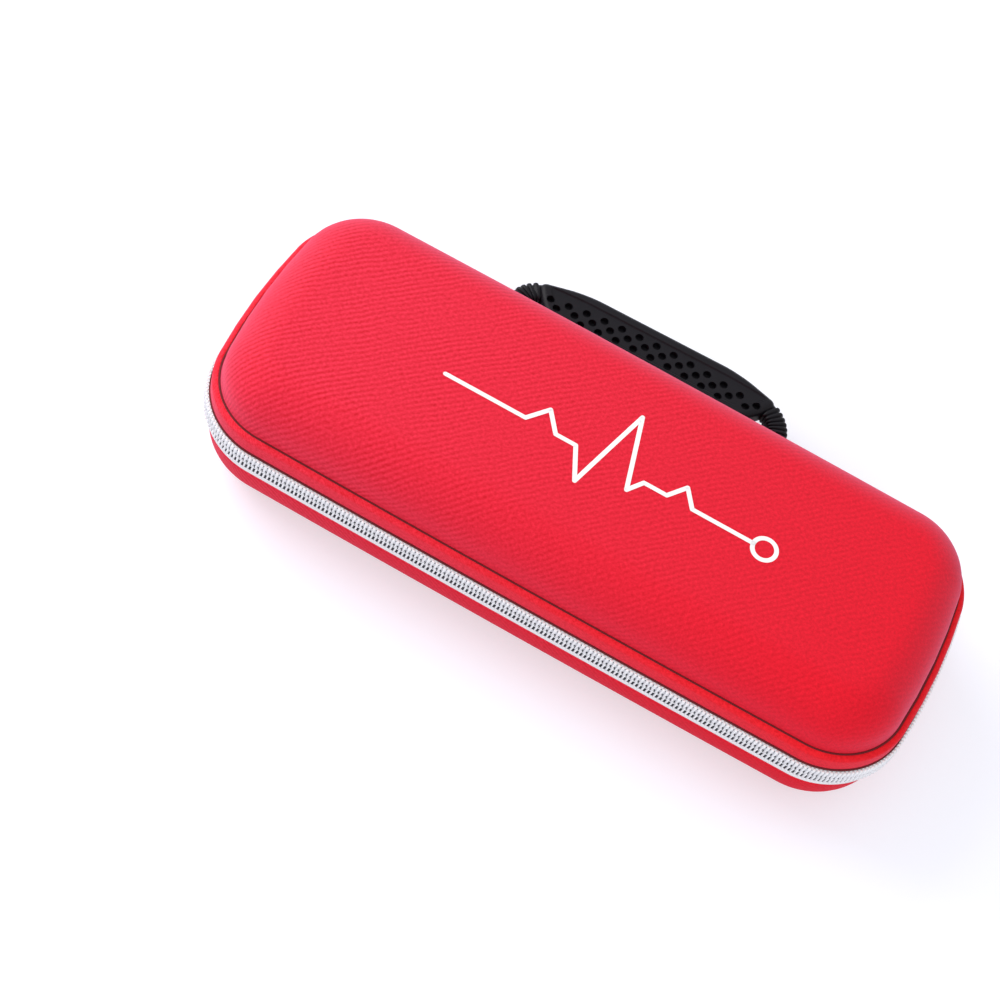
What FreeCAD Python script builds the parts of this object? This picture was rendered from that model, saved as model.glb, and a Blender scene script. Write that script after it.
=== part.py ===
"""Stethoscope hard case: a moulded foam clamshell with a zipper, a fabric hinge and a rubber handle.

Millimetres. X runs along the case, -Y is the zipper side that faces the user, +Y is the hinge and
handle side, +Z is up. The origin is the centre of the flat bottom face.
"""
import FreeCAD, Part
import math
import os
from FreeCAD import Vector

os.makedirs("parts", exist_ok=True)

# Plan outline, at the outermost face of the lid rim
case_length = 280.0
case_width = 112.0
corner_radius = 31.0
end_bow = 6.4
side_bow = 0.85

# Heights
base_height = 25.0
zipper_opening = 13.0
lid_height = 25.4
base_rim_height = 2.4
lid_rim_height = 5.8
base_straight_band = 1.0

# Insets from the plan outline, and the form of the two pans
lid_wall_inset = 3.7
base_wall_inset = 1.4
base_rim_inset = 0.9
base_rim_depth = 2.7
wall_draft_degrees = 8.0
lid_edge_radius = 17.3
base_edge_radius = 18.2
flat_inset = 25.5

# Layers of the laminated walls
cover_thickness = 0.8
core_thickness = 3.4
lining_thickness = 0.8
glue_gap = 0.05

# Rim beads
lid_rim_upper_round = 2.6
lid_rim_lower_round = 1.2
lid_rim_groove_round = 0.7
base_rim_upper_round = 0.35
base_rim_lower_round = 0.9

# Zipper, whose teeth stand a little proud of the lid rim
chain_inset = -0.5
coil_thickness = 2.05
coil_width = 3.0
chain_half_gap = 0.3
tape_thickness = 0.6
seat_gap = 0.1
lid_tape_seat = 2.9
base_tape_seat = 1.5
stop_length = 1.6
end_gap = 0.3

# Stretch of the straight back at each end of the fabric hinge, for the zipper's ends and the slider
slider_stretch = 29.9

# Binding tapes round the inner edges
binding_thickness = 0.7
lid_binding_height = 6.5
base_binding_height = 8.0

# Slider
slider_length = 11.0
slider_width = 8.8
slider_plate = 1.2
slider_clearance = 0.35
slider_lip = 1.0
slider_end_clearance = 0.9
slider_post_length = 2.4
slider_post_width = 1.6
slider_corner_round = 1.6
crown_length = 7.4
crown_leg = 1.2
crown_bar_radius = 0.7
crown_width = 2.0

# Pull tab
eye_clearance = 0.3
eye_wall = 0.8
eye_to_plate = 0.35
tab_width = 6.0
tab_tip_width = 4.4
tab_thickness = 1.4
tab_length = 24.0
tab_slot_length = 9.0
tab_slot_width = 2.0
tab_tip_round = 1.8
tab_slot_round_share = 0.9

# Handle grip; the photo shows the handle a little left of the case's middle
handle_middle = -5.0
handle_height = 18.5
handle_thickness = 8.0
handle_reach = 33.8
grip_width = 20.3
grip_flat_half = 40.0
grip_inner_half = 41.0
grip_outer_corner_round = 42.0
grip_inner_corner_round = 8.0
grip_end_round = 3.0
grip_edge_round = 2.4
grip_border = 4.2
grip_recess = 0.5
recess_corner_share = 0.33
recess_round_share = 0.33
dimple_diameter = 3.3
dimple_depth = 2.2
dimple_pitch = 7.35
dimple_row_step = 3.05
dimple_first_row = 7.9
dimple_row_bow = 3.6
dimple_half_counts = (6, 6, 4)
webbing_length = 78.0
webbing_width = 9.0
webbing_thickness = 1.2

# Handle necks and feet
foot_spacing = 110.0
foot_reach = 3.0
foot_width = 11.0
foot_edge_round = 1.2
neck_straight = 11.5
neck_bend_radius = 12.0
neck_bend_degrees = 57.0
neck_width = 8.0
neck_thickness = 6.0
rib_width = 9.6
rib_thickness = 7.6
rib_length = 1.4
rib_pitch = 2.6
rib_edge_round = 1.9
shank_width = 8.0
shank_height = 5.6
slot_clearance = 0.3
washer_width = 16.0
washer_height = 10.0
washer_depth = 1.8
head_width = 12.0
head_height = 7.6
head_depth = 2.0

# Lid pocket
net_height = 8.0
net_thickness = 0.6
net_front_gap = 20.0
net_edge_margin = 7.0
net_pitch_x = 10.5
net_pitch_y = 7.4
net_hole_x = 8.6
net_hole_y = 5.6
hem_width = 6.0
hem_thickness = 1.6
edging_width = 3.4
edging_thickness = 1.0
pocket_wall_gap = 0.3

# Straps in the base
strap_spacing = 116.0
strap_width = 25.0
strap_end_inset = 23.0
strap_thickness = 1.0
patch_width = 29.0
patch_length = 11.0
patch_thickness = 0.8

# One overrun for every cut, and the shortest edge that an outline keeps
overrun = 1.0
shortest_edge = 0.0005

# Values that follow
half_length = case_length / 2
half_width = case_width / 2
strap_length = case_width - 2 * strap_end_inset
draft = math.radians(wall_draft_degrees)
lid_open = base_height + zipper_opening
top = lid_open + lid_height
zip_middle = base_height + zipper_opening / 2
tape_inset = chain_inset + coil_thickness + glue_gap
tape_inner = tape_inset + tape_thickness
core_in = cover_thickness + core_thickness + glue_gap
lining_in = core_in + lining_thickness + glue_gap
end_radius = (half_width ** 2 + end_bow ** 2) / (2 * end_bow)
side_radius = (half_length ** 2 + side_bow ** 2) / (2 * side_bow)


def corner_centre():
    """Centre of the corner arc, tangent inside both the end arc and the side arc."""
    ax = half_length - end_radius
    by = half_width - side_radius
    ra = end_radius - corner_radius
    rb = side_radius - corner_radius
    distance = math.hypot(ax, by)
    along = (ra ** 2 - rb ** 2 + distance ** 2) / (2 * distance)
    across = math.sqrt(ra ** 2 - along ** 2)
    ux = -ax / distance
    uy = by / distance
    x = ax + along * ux - across * uy
    y = along * uy + across * ux
    return abs(x), abs(y)


corner_x, corner_y = corner_centre()
end_turn = math.atan2(corner_y, corner_x - (half_length - end_radius))
side_turn = math.atan2(corner_y - (half_width - side_radius), corner_x)


def side_angle(x):
    """Angle of the point at x on the back side arc."""
    return math.acos(x / side_radius)


def back_y(x):
    """Place of the plan outline's back side at x."""
    return half_width - side_radius + math.sqrt(side_radius ** 2 - x ** 2)


class Span:
    """One arc of the plan outline: its centre, its radius and the angles that it runs between."""

    def __init__(self, x, y, radius, first, last):
        self.x = x
        self.y = y
        self.radius = radius
        self.first = first
        self.last = last

    def point(self, inset, angle, z):
        reach = self.radius - inset
        return Vector(self.x + reach * math.cos(angle), self.y + reach * math.sin(angle), z)


def back_span(first_x, last_x):
    """A stretch of the back side, from first_x down to last_x."""
    return Span(0, half_width - side_radius, side_radius, side_angle(first_x), side_angle(last_x))


def corner_span(sign_x, sign_y, first, last):
    return Span(sign_x * corner_x, sign_y * corner_y, corner_radius, first, last)


def outline_spans():
    """The whole outline, anticlockwise, as eight tangent arcs."""
    half_turn = math.pi
    full_turn = 2 * math.pi
    end_x = half_length - end_radius
    side_y = half_width - side_radius
    return [
        Span(end_x, 0, end_radius, -end_turn, end_turn),
        corner_span(1, 1, end_turn, side_turn),
        Span(0, side_y, side_radius, side_turn, half_turn - side_turn),
        corner_span(-1, 1, half_turn - side_turn, half_turn - end_turn),
        Span(-end_x, 0, end_radius, half_turn - end_turn, half_turn + end_turn),
        corner_span(-1, -1, half_turn + end_turn, half_turn + side_turn),
        Span(0, -side_y, side_radius, half_turn + side_turn, full_turn - side_turn),
        corner_span(1, -1, full_turn - side_turn, full_turn - end_turn),
    ]


tangent_x = side_radius * math.cos(side_turn)
hinge_half_length = tangent_x - slider_stretch


def zipper_spans(start_x):
    """The zipper's main run: from -start_x at the back, round both ends and the front."""
    spans = outline_spans()
    return [back_span(-start_x, -tangent_x)] + spans[3:] + spans[:2]


def rounded_edges(points):
    """Closed outline from (inset, z, round) points, as lists of two or three places per edge."""
    count = len(points)
    entries = []
    for i, (s, z, radius) in enumerate(points):
        before = points[i - 1]
        after = points[(i + 1) % count]
        to_before = unit(before[0] - s, before[1] - z)
        to_after = unit(after[0] - s, after[1] - z)
        if radius == 0:
            entries.append([(s, z)])
            continue
        cosine = to_before[0] * to_after[0] + to_before[1] * to_after[1]
        half = math.acos(max(-1, min(1, cosine))) / 2
        cut = radius / math.tan(half)
        middle = unit(to_before[0] + to_after[0], to_before[1] + to_after[1])
        depth = radius / math.sin(half) - radius
        entries.append([
            (s + cut * to_before[0], z + cut * to_before[1]),
            (s + depth * middle[0], z + depth * middle[1]),
            (s + cut * to_after[0], z + cut * to_after[1]),
        ])
    edges = []
    for i, entry in enumerate(entries):
        if len(entry) == 3:
            edges.append(entry)
        edges.append([entry[-1], entries[(i + 1) % count][0]])
    return edges


def unit(a, b):
    size = math.hypot(a, b)
    return a / size, b / size


def wire_from(edges, place):
    """A wire through the outline's edges, with place() turning each pair into a 3-D point."""
    made = []
    for edge in edges:
        points = [place(*pair) for pair in edge]
        if len(points) == 3:
            made.append(Part.Arc(*points).toShape())
        elif points[0].distanceToPoint(points[1]) > shortest_edge:
            made.append(Part.makeLine(*points))
    return Part.Wire(made)


def fused(shapes):
    if len(shapes) == 1:
        return shapes[0]
    return shapes[0].multiFuse(shapes[1:]).removeSplitter()


def swept(points, spans):
    """Carry an (inset, z, round) section along spans of the outline."""
    edges = rounded_edges(points)
    pieces = []
    for span in spans:
        section = wire_from(edges, lambda s, z: span.point(s, span.first, z))
        turn = math.degrees(span.last - span.first)
        centre = Vector(span.x, span.y, 0)
        pieces.append(Part.Face(section).revolve(centre, Vector(0, 0, 1), turn))
    return fused(pieces)


def outline_wire(inset, z):
    edges = []
    for span in outline_spans():
        middle = (span.first + span.last) / 2
        places = [span.point(inset, angle, z) for angle in (span.first, middle, span.last)]
        edges.append(Part.Arc(*places).toShape())
    return Part.Wire(edges)


def outline_plate(inset, low, high):
    """A flat plate whose edge follows the outline at one inset."""
    return Part.Face(outline_wire(inset, low)).extrude(Vector(0, 0, high - low))


def box(x0, x1, y0, y1, z0, z1):
    return Part.makeBox(x1 - x0, y1 - y0, z1 - z0, Vector(x0, y0, z0))


def runs_along_y(edge):
    extent = edge.BoundBox
    return extent.YLength > max(extent.XLength, extent.ZLength)


class Pan:
    """A drafted pan with a round edge. Its depth h runs from the open face to the closed one."""

    def __init__(self, wall_inset, knee, depth, edge_radius, open_z, direction):
        self.wall_inset = wall_inset
        self.knee = knee
        self.depth = depth
        self.edge_radius = edge_radius
        self.open_z = open_z
        self.direction = direction

    def z(self, h):
        return self.open_z + self.direction * h

    def wall(self, offset, h):
        """Inset of the wall's face, moved inwards by offset, on its drafted stretch."""
        return self.wall_inset + offset / math.cos(draft) + math.tan(draft) * (h - self.knee)

    def face(self, offset):
        """Knee, round corner and flat of the pan's face, moved inwards by offset."""
        low = self.depth - offset
        return [
            (self.wall_inset + offset, self.knee - offset * math.tan(draft / 2), 0),
            (self.wall(offset, low), low, self.edge_radius - offset),
            (flat_inset, low, 0),
        ]

    def section(self, outer, inner, outer_start, inner_start):
        points = outer_start + self.face(outer) + self.face(inner)[::-1] + inner_start
        return [(s, self.z(h), radius) for s, h, radius in points]

    def layer(self, outer, inner, outer_start, inner_start):
        """One layer of the pan, between two offsets."""
        ring = swept(self.section(outer, inner, outer_start, inner_start), outline_spans())
        low, high = sorted((self.z(self.depth - outer), self.z(self.depth - inner)))
        return fused([ring, outline_plate(flat_inset, low, high)])

    def filled(self, offset):
        """The whole volume inside the pan's face, moved inwards by offset."""
        points = [(self.wall_inset + offset, 0, 0)] + self.face(offset) + [(flat_inset, 0, 0)]
        ring = swept([(s, self.z(h), radius) for s, h, radius in points], outline_spans())
        low, high = sorted((self.z(0), self.z(self.depth - offset)))
        return fused([ring, outline_plate(flat_inset, low, high)])


base_pan = Pan(base_wall_inset, base_rim_height + base_straight_band, base_height,
               base_edge_radius, base_height, -1)
lid_pan = Pan(lid_wall_inset, lid_rim_height, lid_height, lid_edge_radius, lid_open, 1)
handle_y = back_y(foot_spacing / 2)
foot_face = handle_y + foot_reach
grip_outer = half_width + handle_reach
grip_inner = grip_outer - grip_width


def foot_x(side):
    """Middle of the left foot (side -1) or the right foot (side 1)."""
    return handle_middle + side * foot_spacing / 2


def beside_middle(shape):
    """A handle shape drawn about x = 0, moved to the handle's own middle."""
    return shape.translated(Vector(handle_middle, 0, 0))


def handle_slots():
    """The two slots through the base wall that the handle's shanks pass."""
    half_slot = shank_width / 2 + slot_clearance
    half_rise = shank_height / 2 + slot_clearance
    slots = []
    for side in (-1, 1):
        x = foot_x(side)
        slots.append(box(x - half_slot, x + half_slot, half_width - flat_inset / 2,
                         half_width + overrun, handle_height - half_rise,
                         handle_height + half_rise))
    return slots


def base_cover():
    start = base_rim_height + glue_gap
    layer = base_pan.layer(0, cover_thickness, [(base_wall_inset, start, 0)],
                           [(base_wall_inset + cover_thickness, start, 0)])
    return layer.cut(handle_slots())


def base_core():
    outer = cover_thickness + glue_gap
    behind_rim = base_rim_inset + base_rim_depth + glue_gap
    under_rim = base_rim_height + glue_gap
    start = [(behind_rim, 0, 0), (behind_rim, under_rim, 0),
             (base_wall_inset + outer, under_rim, 0)]
    layer = base_pan.layer(outer, core_in, start, [(base_wall_inset + core_in, 0, 0)])
    return layer.cut(handle_slots())


def base_lining():
    outer = core_in + glue_gap
    layer = base_pan.layer(outer, lining_in, [(base_wall_inset + outer, 0, 0)],
                           [(base_wall_inset + lining_in, 0, 0)])
    return layer.cut(handle_slots())


def lid_layer(outer, inner):
    return lid_pan.layer(outer, inner, [(lid_wall_inset + outer, 0, 0)],
                         [(lid_wall_inset + inner, 0, 0)])


def lid_cover():
    return lid_layer(0, cover_thickness)


def lid_core():
    return lid_layer(cover_thickness + glue_gap, core_in)


def lid_lining():
    return lid_layer(core_in + glue_gap, lining_in)


def tape_slot(open_z, direction, seat):
    """The slot in a rim that the zipper tape is sewn into, as four section points."""
    low = tape_inset - seat_gap
    high = tape_inner + seat_gap
    floor = open_z + direction * (seat + seat_gap)
    return [(low, open_z, 0), (low, floor, 0), (high, floor, 0), (high, open_z, 0)]


def lid_rim():
    inner = lid_wall_inset - glue_gap
    upper = lid_open + lid_rim_height
    points = [(0, lid_open, lid_rim_lower_round)] + tape_slot(lid_open, 1, lid_tape_seat)
    points += [(inner, lid_open, 0), (inner, upper, lid_rim_groove_round),
               (0, upper, lid_rim_upper_round)]
    return swept(points, outline_spans())


def base_rim():
    inner = base_rim_inset + base_rim_depth
    lower = base_height - base_rim_height
    points = [(base_rim_inset, base_height, base_rim_upper_round)]
    points += tape_slot(base_height, -1, base_tape_seat)
    points += [(inner, base_height, 0), (inner, lower, 0),
               (base_rim_inset, lower, base_rim_lower_round)]
    return swept(points, outline_spans())


def strip(inset, thickness, low, high, spans):
    """A flat strip that stands along the outline."""
    outer = inset + thickness
    return swept([(inset, low, 0), (outer, low, 0), (outer, high, 0), (inset, high, 0)], spans)


def tape_start():
    return hinge_half_length + end_gap


def coil_start():
    return hinge_half_length + stop_length + 2 * end_gap


def lid_zipper_tape():
    return strip(tape_inset, tape_thickness, zip_middle + chain_half_gap,
                 lid_open + lid_tape_seat, zipper_spans(tape_start()))


def base_zipper_tape():
    return strip(tape_inset, tape_thickness, base_height - base_tape_seat,
                 zip_middle - chain_half_gap, zipper_spans(tape_start()))


def lid_zipper_coil():
    low = zip_middle + chain_half_gap
    return strip(chain_inset, coil_thickness, low, low + coil_width, zipper_spans(coil_start()))


def base_zipper_coil():
    high = zip_middle - chain_half_gap
    return strip(chain_inset, coil_thickness, high - coil_width, high, zipper_spans(coil_start()))


slider_x = hinge_half_length + stop_length + slider_end_clearance + slider_length / 2
slider_back = back_y(slider_x)


def zipper_tail(low, high, coil_low):
    """Tape and teeth of one half on the back stretch that the slider runs on."""
    join = end_gap / 2
    throat = slider_x
    tape = strip(tape_inset, tape_thickness, low, high, [back_span(tangent_x - join, tape_start())])
    coil = strip(chain_inset, coil_thickness + glue_gap, coil_low, coil_low + coil_width,
                 [back_span(tangent_x - join, throat)])
    half_throat = slider_post_width / 2 + slider_clearance
    notch = box(hinge_half_length, throat, slider_back - tape_inner - overrun,
                slider_back + overrun, zip_middle - half_throat, zip_middle + half_throat)
    return fused([tape, coil]).cut(notch)


def zipper_tail_upper():
    low = zip_middle + chain_half_gap
    return zipper_tail(low, lid_open + lid_tape_seat, low)


def zipper_tail_lower():
    high = zip_middle - chain_half_gap
    return zipper_tail(base_height - base_tape_seat, high, high - coil_width)


def hinge_strip():
    """The fabric band that joins the two rims along the back."""
    return strip(tape_inset, tape_thickness, base_height - base_tape_seat,
                 lid_open + lid_tape_seat, [back_span(hinge_half_length, -hinge_half_length)])


def zipper_stops():
    """A stop crimped on the base tape at each end of the zipper."""
    near = hinge_half_length + end_gap
    high = zip_middle - slider_post_width / 2 - slider_clearance
    low = zip_middle - chain_half_gap - coil_width
    spans = ([back_span(near + stop_length, near)], [back_span(-near, -near - stop_length)])
    stops = [strip(chain_inset, coil_thickness, low, high, span) for span in spans]
    return Part.makeCompound(stops)


def binding(pan, height):
    """Binding tape folded over the wall's inner edge: a flat leg and a leg on the lining."""
    lined = lining_in + glue_gap
    wall = pan.wall_inset + lined
    knee_h = pan.knee - lined * math.tan(draft / 2)
    face = pan.wall(lined, height)
    inner_face = pan.wall(lined + binding_thickness, height)
    inner_knee = pan.knee - (lined + binding_thickness) * math.tan(draft / 2)
    edge_h = -glue_gap
    points = [
        (tape_inner + glue_gap, edge_h, 0),
        (wall, edge_h, 0),
        (wall, knee_h, 0),
        (face, height, 0),
        (inner_face, height, 0),
        (wall + binding_thickness, inner_knee, 0),
        (wall + binding_thickness, edge_h - binding_thickness, 0),
        (tape_inner + glue_gap, edge_h - binding_thickness, 0),
    ]
    return swept([(s, pan.z(h), radius) for s, h, radius in points], outline_spans())


def base_binding():
    """The base's binding, with a notch at each washer plate."""
    notches = []
    half = washer_width / 2 + slot_clearance
    for side in (-1, 1):
        x = foot_x(side)
        notches.append(box(x - half, x + half, washer_face() - overrun, half_width, 0,
                           handle_height + washer_height / 2 + slot_clearance))
    return binding(base_pan, base_binding_height).cut(notches)


def lid_binding():
    return binding(lid_pan, lid_binding_height)


crown_y = slider_back - chain_inset + slider_clearance + slider_plate
eye_inner = crown_bar_radius + eye_clearance
eye_outer = eye_inner + eye_wall
crown_axis_y = crown_y + eye_to_plate + eye_outer


def slider_body():
    """Outer and inner plates, side lips, the post between the halves, and the crown with its bar."""
    x0 = slider_x - slider_length / 2
    x1 = slider_x + slider_length / 2
    half = slider_width / 2
    outer_face = slider_back - chain_inset + slider_clearance
    inner_face = slider_back - tape_inner - slider_clearance
    outer = box(x0, x1, outer_face, outer_face + slider_plate, zip_middle - half, zip_middle + half)
    inner = box(x0, x1, inner_face - slider_plate, inner_face, zip_middle - half, zip_middle + half)
    plates = []
    for plate in (outer, inner):
        corners = [edge for edge in plate.Edges if runs_along_y(edge)]
        plates.append(plate.makeFillet(slider_corner_round, corners))
    lips = []
    lip_end = slider_back - tape_inset + slider_clearance
    lip_inset = slider_corner_round
    for side in (-1, 1):
        edge = zip_middle + side * half
        low, high = sorted((edge, edge - side * slider_lip))
        lips.append(box(x0 + lip_inset, x1 - lip_inset, lip_end, outer_face, low, high))
    half_post = slider_post_width / 2
    post_x = x0 + slider_lip
    post = box(post_x, post_x + slider_post_length, inner_face, outer_face,
               zip_middle - half_post, zip_middle + half_post)
    return fused(plates + lips + [post] + crown())


def crown():
    """Two legs and a round bar along the case that the pull tab hangs from."""
    legs = []
    half = crown_width / 2
    for side in (-1, 1):
        outer = slider_x + side * crown_length / 2
        x0, x1 = sorted((outer, outer - side * crown_leg))
        leg = box(x0, x1, crown_y, crown_axis_y, zip_middle - half, zip_middle + half)
        cap = Part.makeCylinder(half, crown_leg, Vector(x0, crown_axis_y, zip_middle),
                                Vector(1, 0, 0))
        legs += [leg, cap]
    bar = Part.makeCylinder(crown_bar_radius, crown_length - crown_leg,
                            Vector(slider_x - (crown_length - crown_leg) / 2, crown_axis_y,
                                   zip_middle), Vector(1, 0, 0))
    return legs + [bar]


def pull_tab():
    """A rolled eye round the crown's bar, with a flat slotted tab that hangs from it."""
    eye_length = crown_length - 2 * crown_leg - 2 * eye_clearance
    start = Vector(slider_x - eye_length / 2, crown_axis_y, zip_middle)
    eye = Part.makeCylinder(eye_outer, eye_length, start, Vector(1, 0, 0))
    low = zip_middle - tab_length
    shoulder = zip_middle - eye_outer - tab_thickness
    neck_half = eye_length / 2
    half = tab_width / 2
    tip = tab_tip_width / 2
    points = [
        (slider_x - neck_half, zip_middle - eye_inner - eye_wall / 2, 0),
        (slider_x + neck_half, zip_middle - eye_inner - eye_wall / 2, 0),
        (slider_x + neck_half, shoulder, 0),
        (slider_x + half, shoulder - tab_thickness, eye_wall),
        (slider_x + tip, low, tab_tip_round),
        (slider_x - tip, low, tab_tip_round),
        (slider_x - half, shoulder - tab_thickness, eye_wall),
        (slider_x - neck_half, shoulder, 0),
    ]
    y0 = crown_axis_y - tab_thickness / 2
    tab = Part.Face(wire_from(rounded_edges(points), lambda x, z: Vector(x, y0, z)))
    tab = tab.extrude(Vector(0, tab_thickness, 0))
    slot_low = low + 2 * tab_tip_round
    slot_half = tab_slot_width / 2
    slot_high = slot_low + tab_slot_length
    slot_round = slot_half * tab_slot_round_share
    slot_points = [
        (slider_x - slot_half, slot_low, slot_round),
        (slider_x + slot_half, slot_low, slot_round),
        (slider_x + slot_half, slot_high, slot_round),
        (slider_x - slot_half, slot_high, slot_round),
    ]
    slot = Part.Face(wire_from(rounded_edges(slot_points),
                               lambda x, z: Vector(x, y0 - overrun, z)))
    slot = slot.extrude(Vector(0, tab_thickness + 2 * overrun, 0))
    bore = Part.makeCylinder(eye_inner, eye_length + 2 * overrun, start - Vector(overrun, 0, 0),
                             Vector(1, 0, 0))
    return fused([eye, tab]).cut([slot, bore])



def neck_path(distance):
    """Place and heading of the right neck's middle line, measured from the foot."""
    x = foot_spacing / 2
    y = foot_face + glue_gap
    if distance <= neck_straight:
        return x, y + distance, 0
    turn = (distance - neck_straight) / neck_bend_radius
    along = neck_bend_radius * math.sin(turn)
    across = neck_bend_radius * (1 - math.cos(turn))
    return x - across, y + neck_straight + along, turn


neck_length = neck_straight + neck_bend_radius * math.radians(neck_bend_degrees)


def neck_side(side):
    """One ribbed neck: a core that bends inwards, with ribs square to its run."""
    half = neck_width / 2
    low = handle_height - neck_thickness / 2
    x = foot_spacing / 2
    y = foot_face + glue_gap
    core = [box(x - half, x + half, y, y + neck_straight, low, low + neck_thickness)]
    centre = Vector(x - neck_bend_radius, y + neck_straight, 0)
    section = box(x - half, x + half, y + neck_straight, y + neck_straight + overrun, low,
                  low + neck_thickness)
    start = [face for face in section.Faces
             if abs(face.CenterOfMass.y - (y + neck_straight)) < glue_gap][0]
    core.append(start.revolve(centre, Vector(0, 0, 1), neck_bend_degrees))
    count = int((neck_length - rib_length) / rib_pitch)
    margin = (neck_length - count * rib_pitch) / 2
    ribs = []
    for i in range(count + 1):
        rx, ry, turn = neck_path(margin + i * rib_pitch)
        rib = box(-rib_width / 2, rib_width / 2, -rib_length / 2, rib_length / 2,
                  -rib_thickness / 2, rib_thickness / 2)
        rib = rib.makeFillet(rib_edge_round, [edge for edge in rib.Edges if runs_along_y(edge)])
        rib.rotate(Vector(0, 0, 0), Vector(0, 0, 1), math.degrees(turn))
        rib.translate(Vector(rx, ry, handle_height))
        ribs.append(rib)
    neck = fused(core + ribs)
    if side < 0:
        neck = neck.mirror(Vector(0, 0, 0), Vector(1, 0, 0))
    return beside_middle(neck)


def handle_neck_right():
    return neck_side(1)


def handle_neck_left():
    return neck_side(-1)


def grip_outline(shrink):
    """The grip's plan as rounded points, drawn in by shrink on every side."""
    x, y, turn = neck_path(neck_length)
    ahead = (-math.sin(turn), math.cos(turn))
    across = (math.cos(turn), math.sin(turn))
    x += ahead[0] * (glue_gap + shrink)
    y += ahead[1] * (glue_gap + shrink)
    half = rib_width / 2 - shrink / 2
    outer_end = (x + across[0] * half, y + across[1] * half)
    inner_end = (x - across[0] * half, y - across[1] * half)
    end_round = max(grip_end_round - shrink, grip_end_round * recess_round_share)
    corner_shift = shrink * recess_corner_share
    right = [
        (grip_inner_half - corner_shift, grip_inner + shrink, grip_inner_corner_round),
        (inner_end[0], inner_end[1], end_round),
        (outer_end[0], outer_end[1], end_round),
        (grip_flat_half - corner_shift, grip_outer - shrink, grip_outer_corner_round - shrink),
    ]
    left = [(-x, y, radius) for x, y, radius in right[::-1]]
    return right + left


def grip_slab(shrink, low, high):
    outline = wire_from(rounded_edges(grip_outline(shrink)), lambda x, y: Vector(x, y, low))
    return Part.Face(outline).extrude(Vector(0, 0, high - low))


def dimples(surface, direction):
    """Rows of blind round holes, each row bowed and staggered against the next."""
    holes = []
    widest = dimple_half_counts[0] * dimple_pitch
    for row, half_count in enumerate(dimple_half_counts):
        shift = dimple_pitch / 2 if row % 2 else 0
        row_y = grip_outer - dimple_first_row - row * dimple_row_step
        places = range(-half_count, half_count + 1 - row % 2)
        for i in places:
            x = i * dimple_pitch + shift
            y = row_y - dimple_row_bow * (x / widest) ** 2
            start = surface + direction * overrun
            holes.append(Part.makeCylinder(dimple_diameter / 2, dimple_depth + overrun,
                                           Vector(x, y, start), Vector(0, 0, -direction)))
    return holes


def webbing_box(clearance):
    half_length = webbing_length / 2 + clearance
    middle = (grip_outer + grip_inner) / 2
    half_across = webbing_width / 2 + clearance
    half_up = webbing_thickness / 2 + clearance
    return box(-half_length, half_length, middle - half_across, middle + half_across,
               handle_height - half_up, handle_height + half_up)


def handle_grip():
    low = handle_height - handle_thickness / 2
    high = handle_height + handle_thickness / 2
    grip = grip_slab(0, low, high)
    rims = [edge for edge in grip.Edges
            if abs(edge.BoundBox.ZMax - edge.BoundBox.ZMin) < glue_gap]
    grip = grip.makeFillet(grip_edge_round, rims)
    cuts = [
        grip_slab(grip_border, high - grip_recess, high + overrun),
        grip_slab(grip_border, low - overrun, low + grip_recess),
        webbing_box(glue_gap),
    ]
    cuts += dimples(high - grip_recess, 1)
    cuts += dimples(low + grip_recess, -1)
    return beside_middle(grip.cut(cuts))


def handle_webbing():
    return beside_middle(webbing_box(0))


def handle_foot(side, outer_wall):
    """Collar outside the wall, shank through the slot, and head behind the washer plate."""
    x = foot_x(side)
    inside = washer_face() - glue_gap
    collar = box(x - foot_width / 2, x + foot_width / 2, half_width - flat_inset / 2, foot_face,
                 handle_height - handle_thickness / 2, handle_height + handle_thickness / 2)
    rims = [edge for edge in collar.Edges if edge.BoundBox.YMax > foot_face - glue_gap]
    collar = collar.makeFillet(foot_edge_round, rims).cut(outer_wall)
    collar = max(collar.Solids, key=lambda solid: solid.CenterOfMass.y)
    shank = box(x - shank_width / 2, x + shank_width / 2, inside - head_depth / 2,
                foot_face - foot_edge_round, handle_height - shank_height / 2,
                handle_height + shank_height / 2)
    head = box(x - head_width / 2, x + head_width / 2, inside - head_depth, inside,
               handle_height - head_height / 2, handle_height + head_height / 2)
    return fused([collar, shank, head])


def washer_face():
    """The flat inner face of the washer plates."""
    inset = base_pan.wall(lining_in, base_height - handle_height + washer_height / 2)
    return handle_y - inset - washer_depth


def handle_feet():
    outer_wall = base_pan.filled(-glue_gap)
    return Part.makeCompound([handle_foot(side, outer_wall) for side in (-1, 1)])


def washer_plates():
    """Plates between the lining and the heads, formed to the wall on their outer side."""
    cavity = base_pan.filled(lining_in + glue_gap)
    plates = []
    face = washer_face()
    half_hole = shank_width / 2 + slot_clearance
    half_rise = shank_height / 2 + slot_clearance
    for side in (-1, 1):
        x = foot_x(side)
        plate = box(x - washer_width / 2, x + washer_width / 2, face, half_width,
                    handle_height - washer_height / 2, handle_height + washer_height / 2)
        hole = box(x - half_hole, x + half_hole, face - overrun, half_width,
                   handle_height - half_rise, handle_height + half_rise)
        plates.append(plate.common(cavity).cut(hole))
    return Part.makeCompound(plates)


net_low = lid_open + net_height
net_inset = lid_pan.wall(lining_in, net_height + net_thickness) + pocket_wall_gap
net_front = -half_width + net_front_gap


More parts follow.
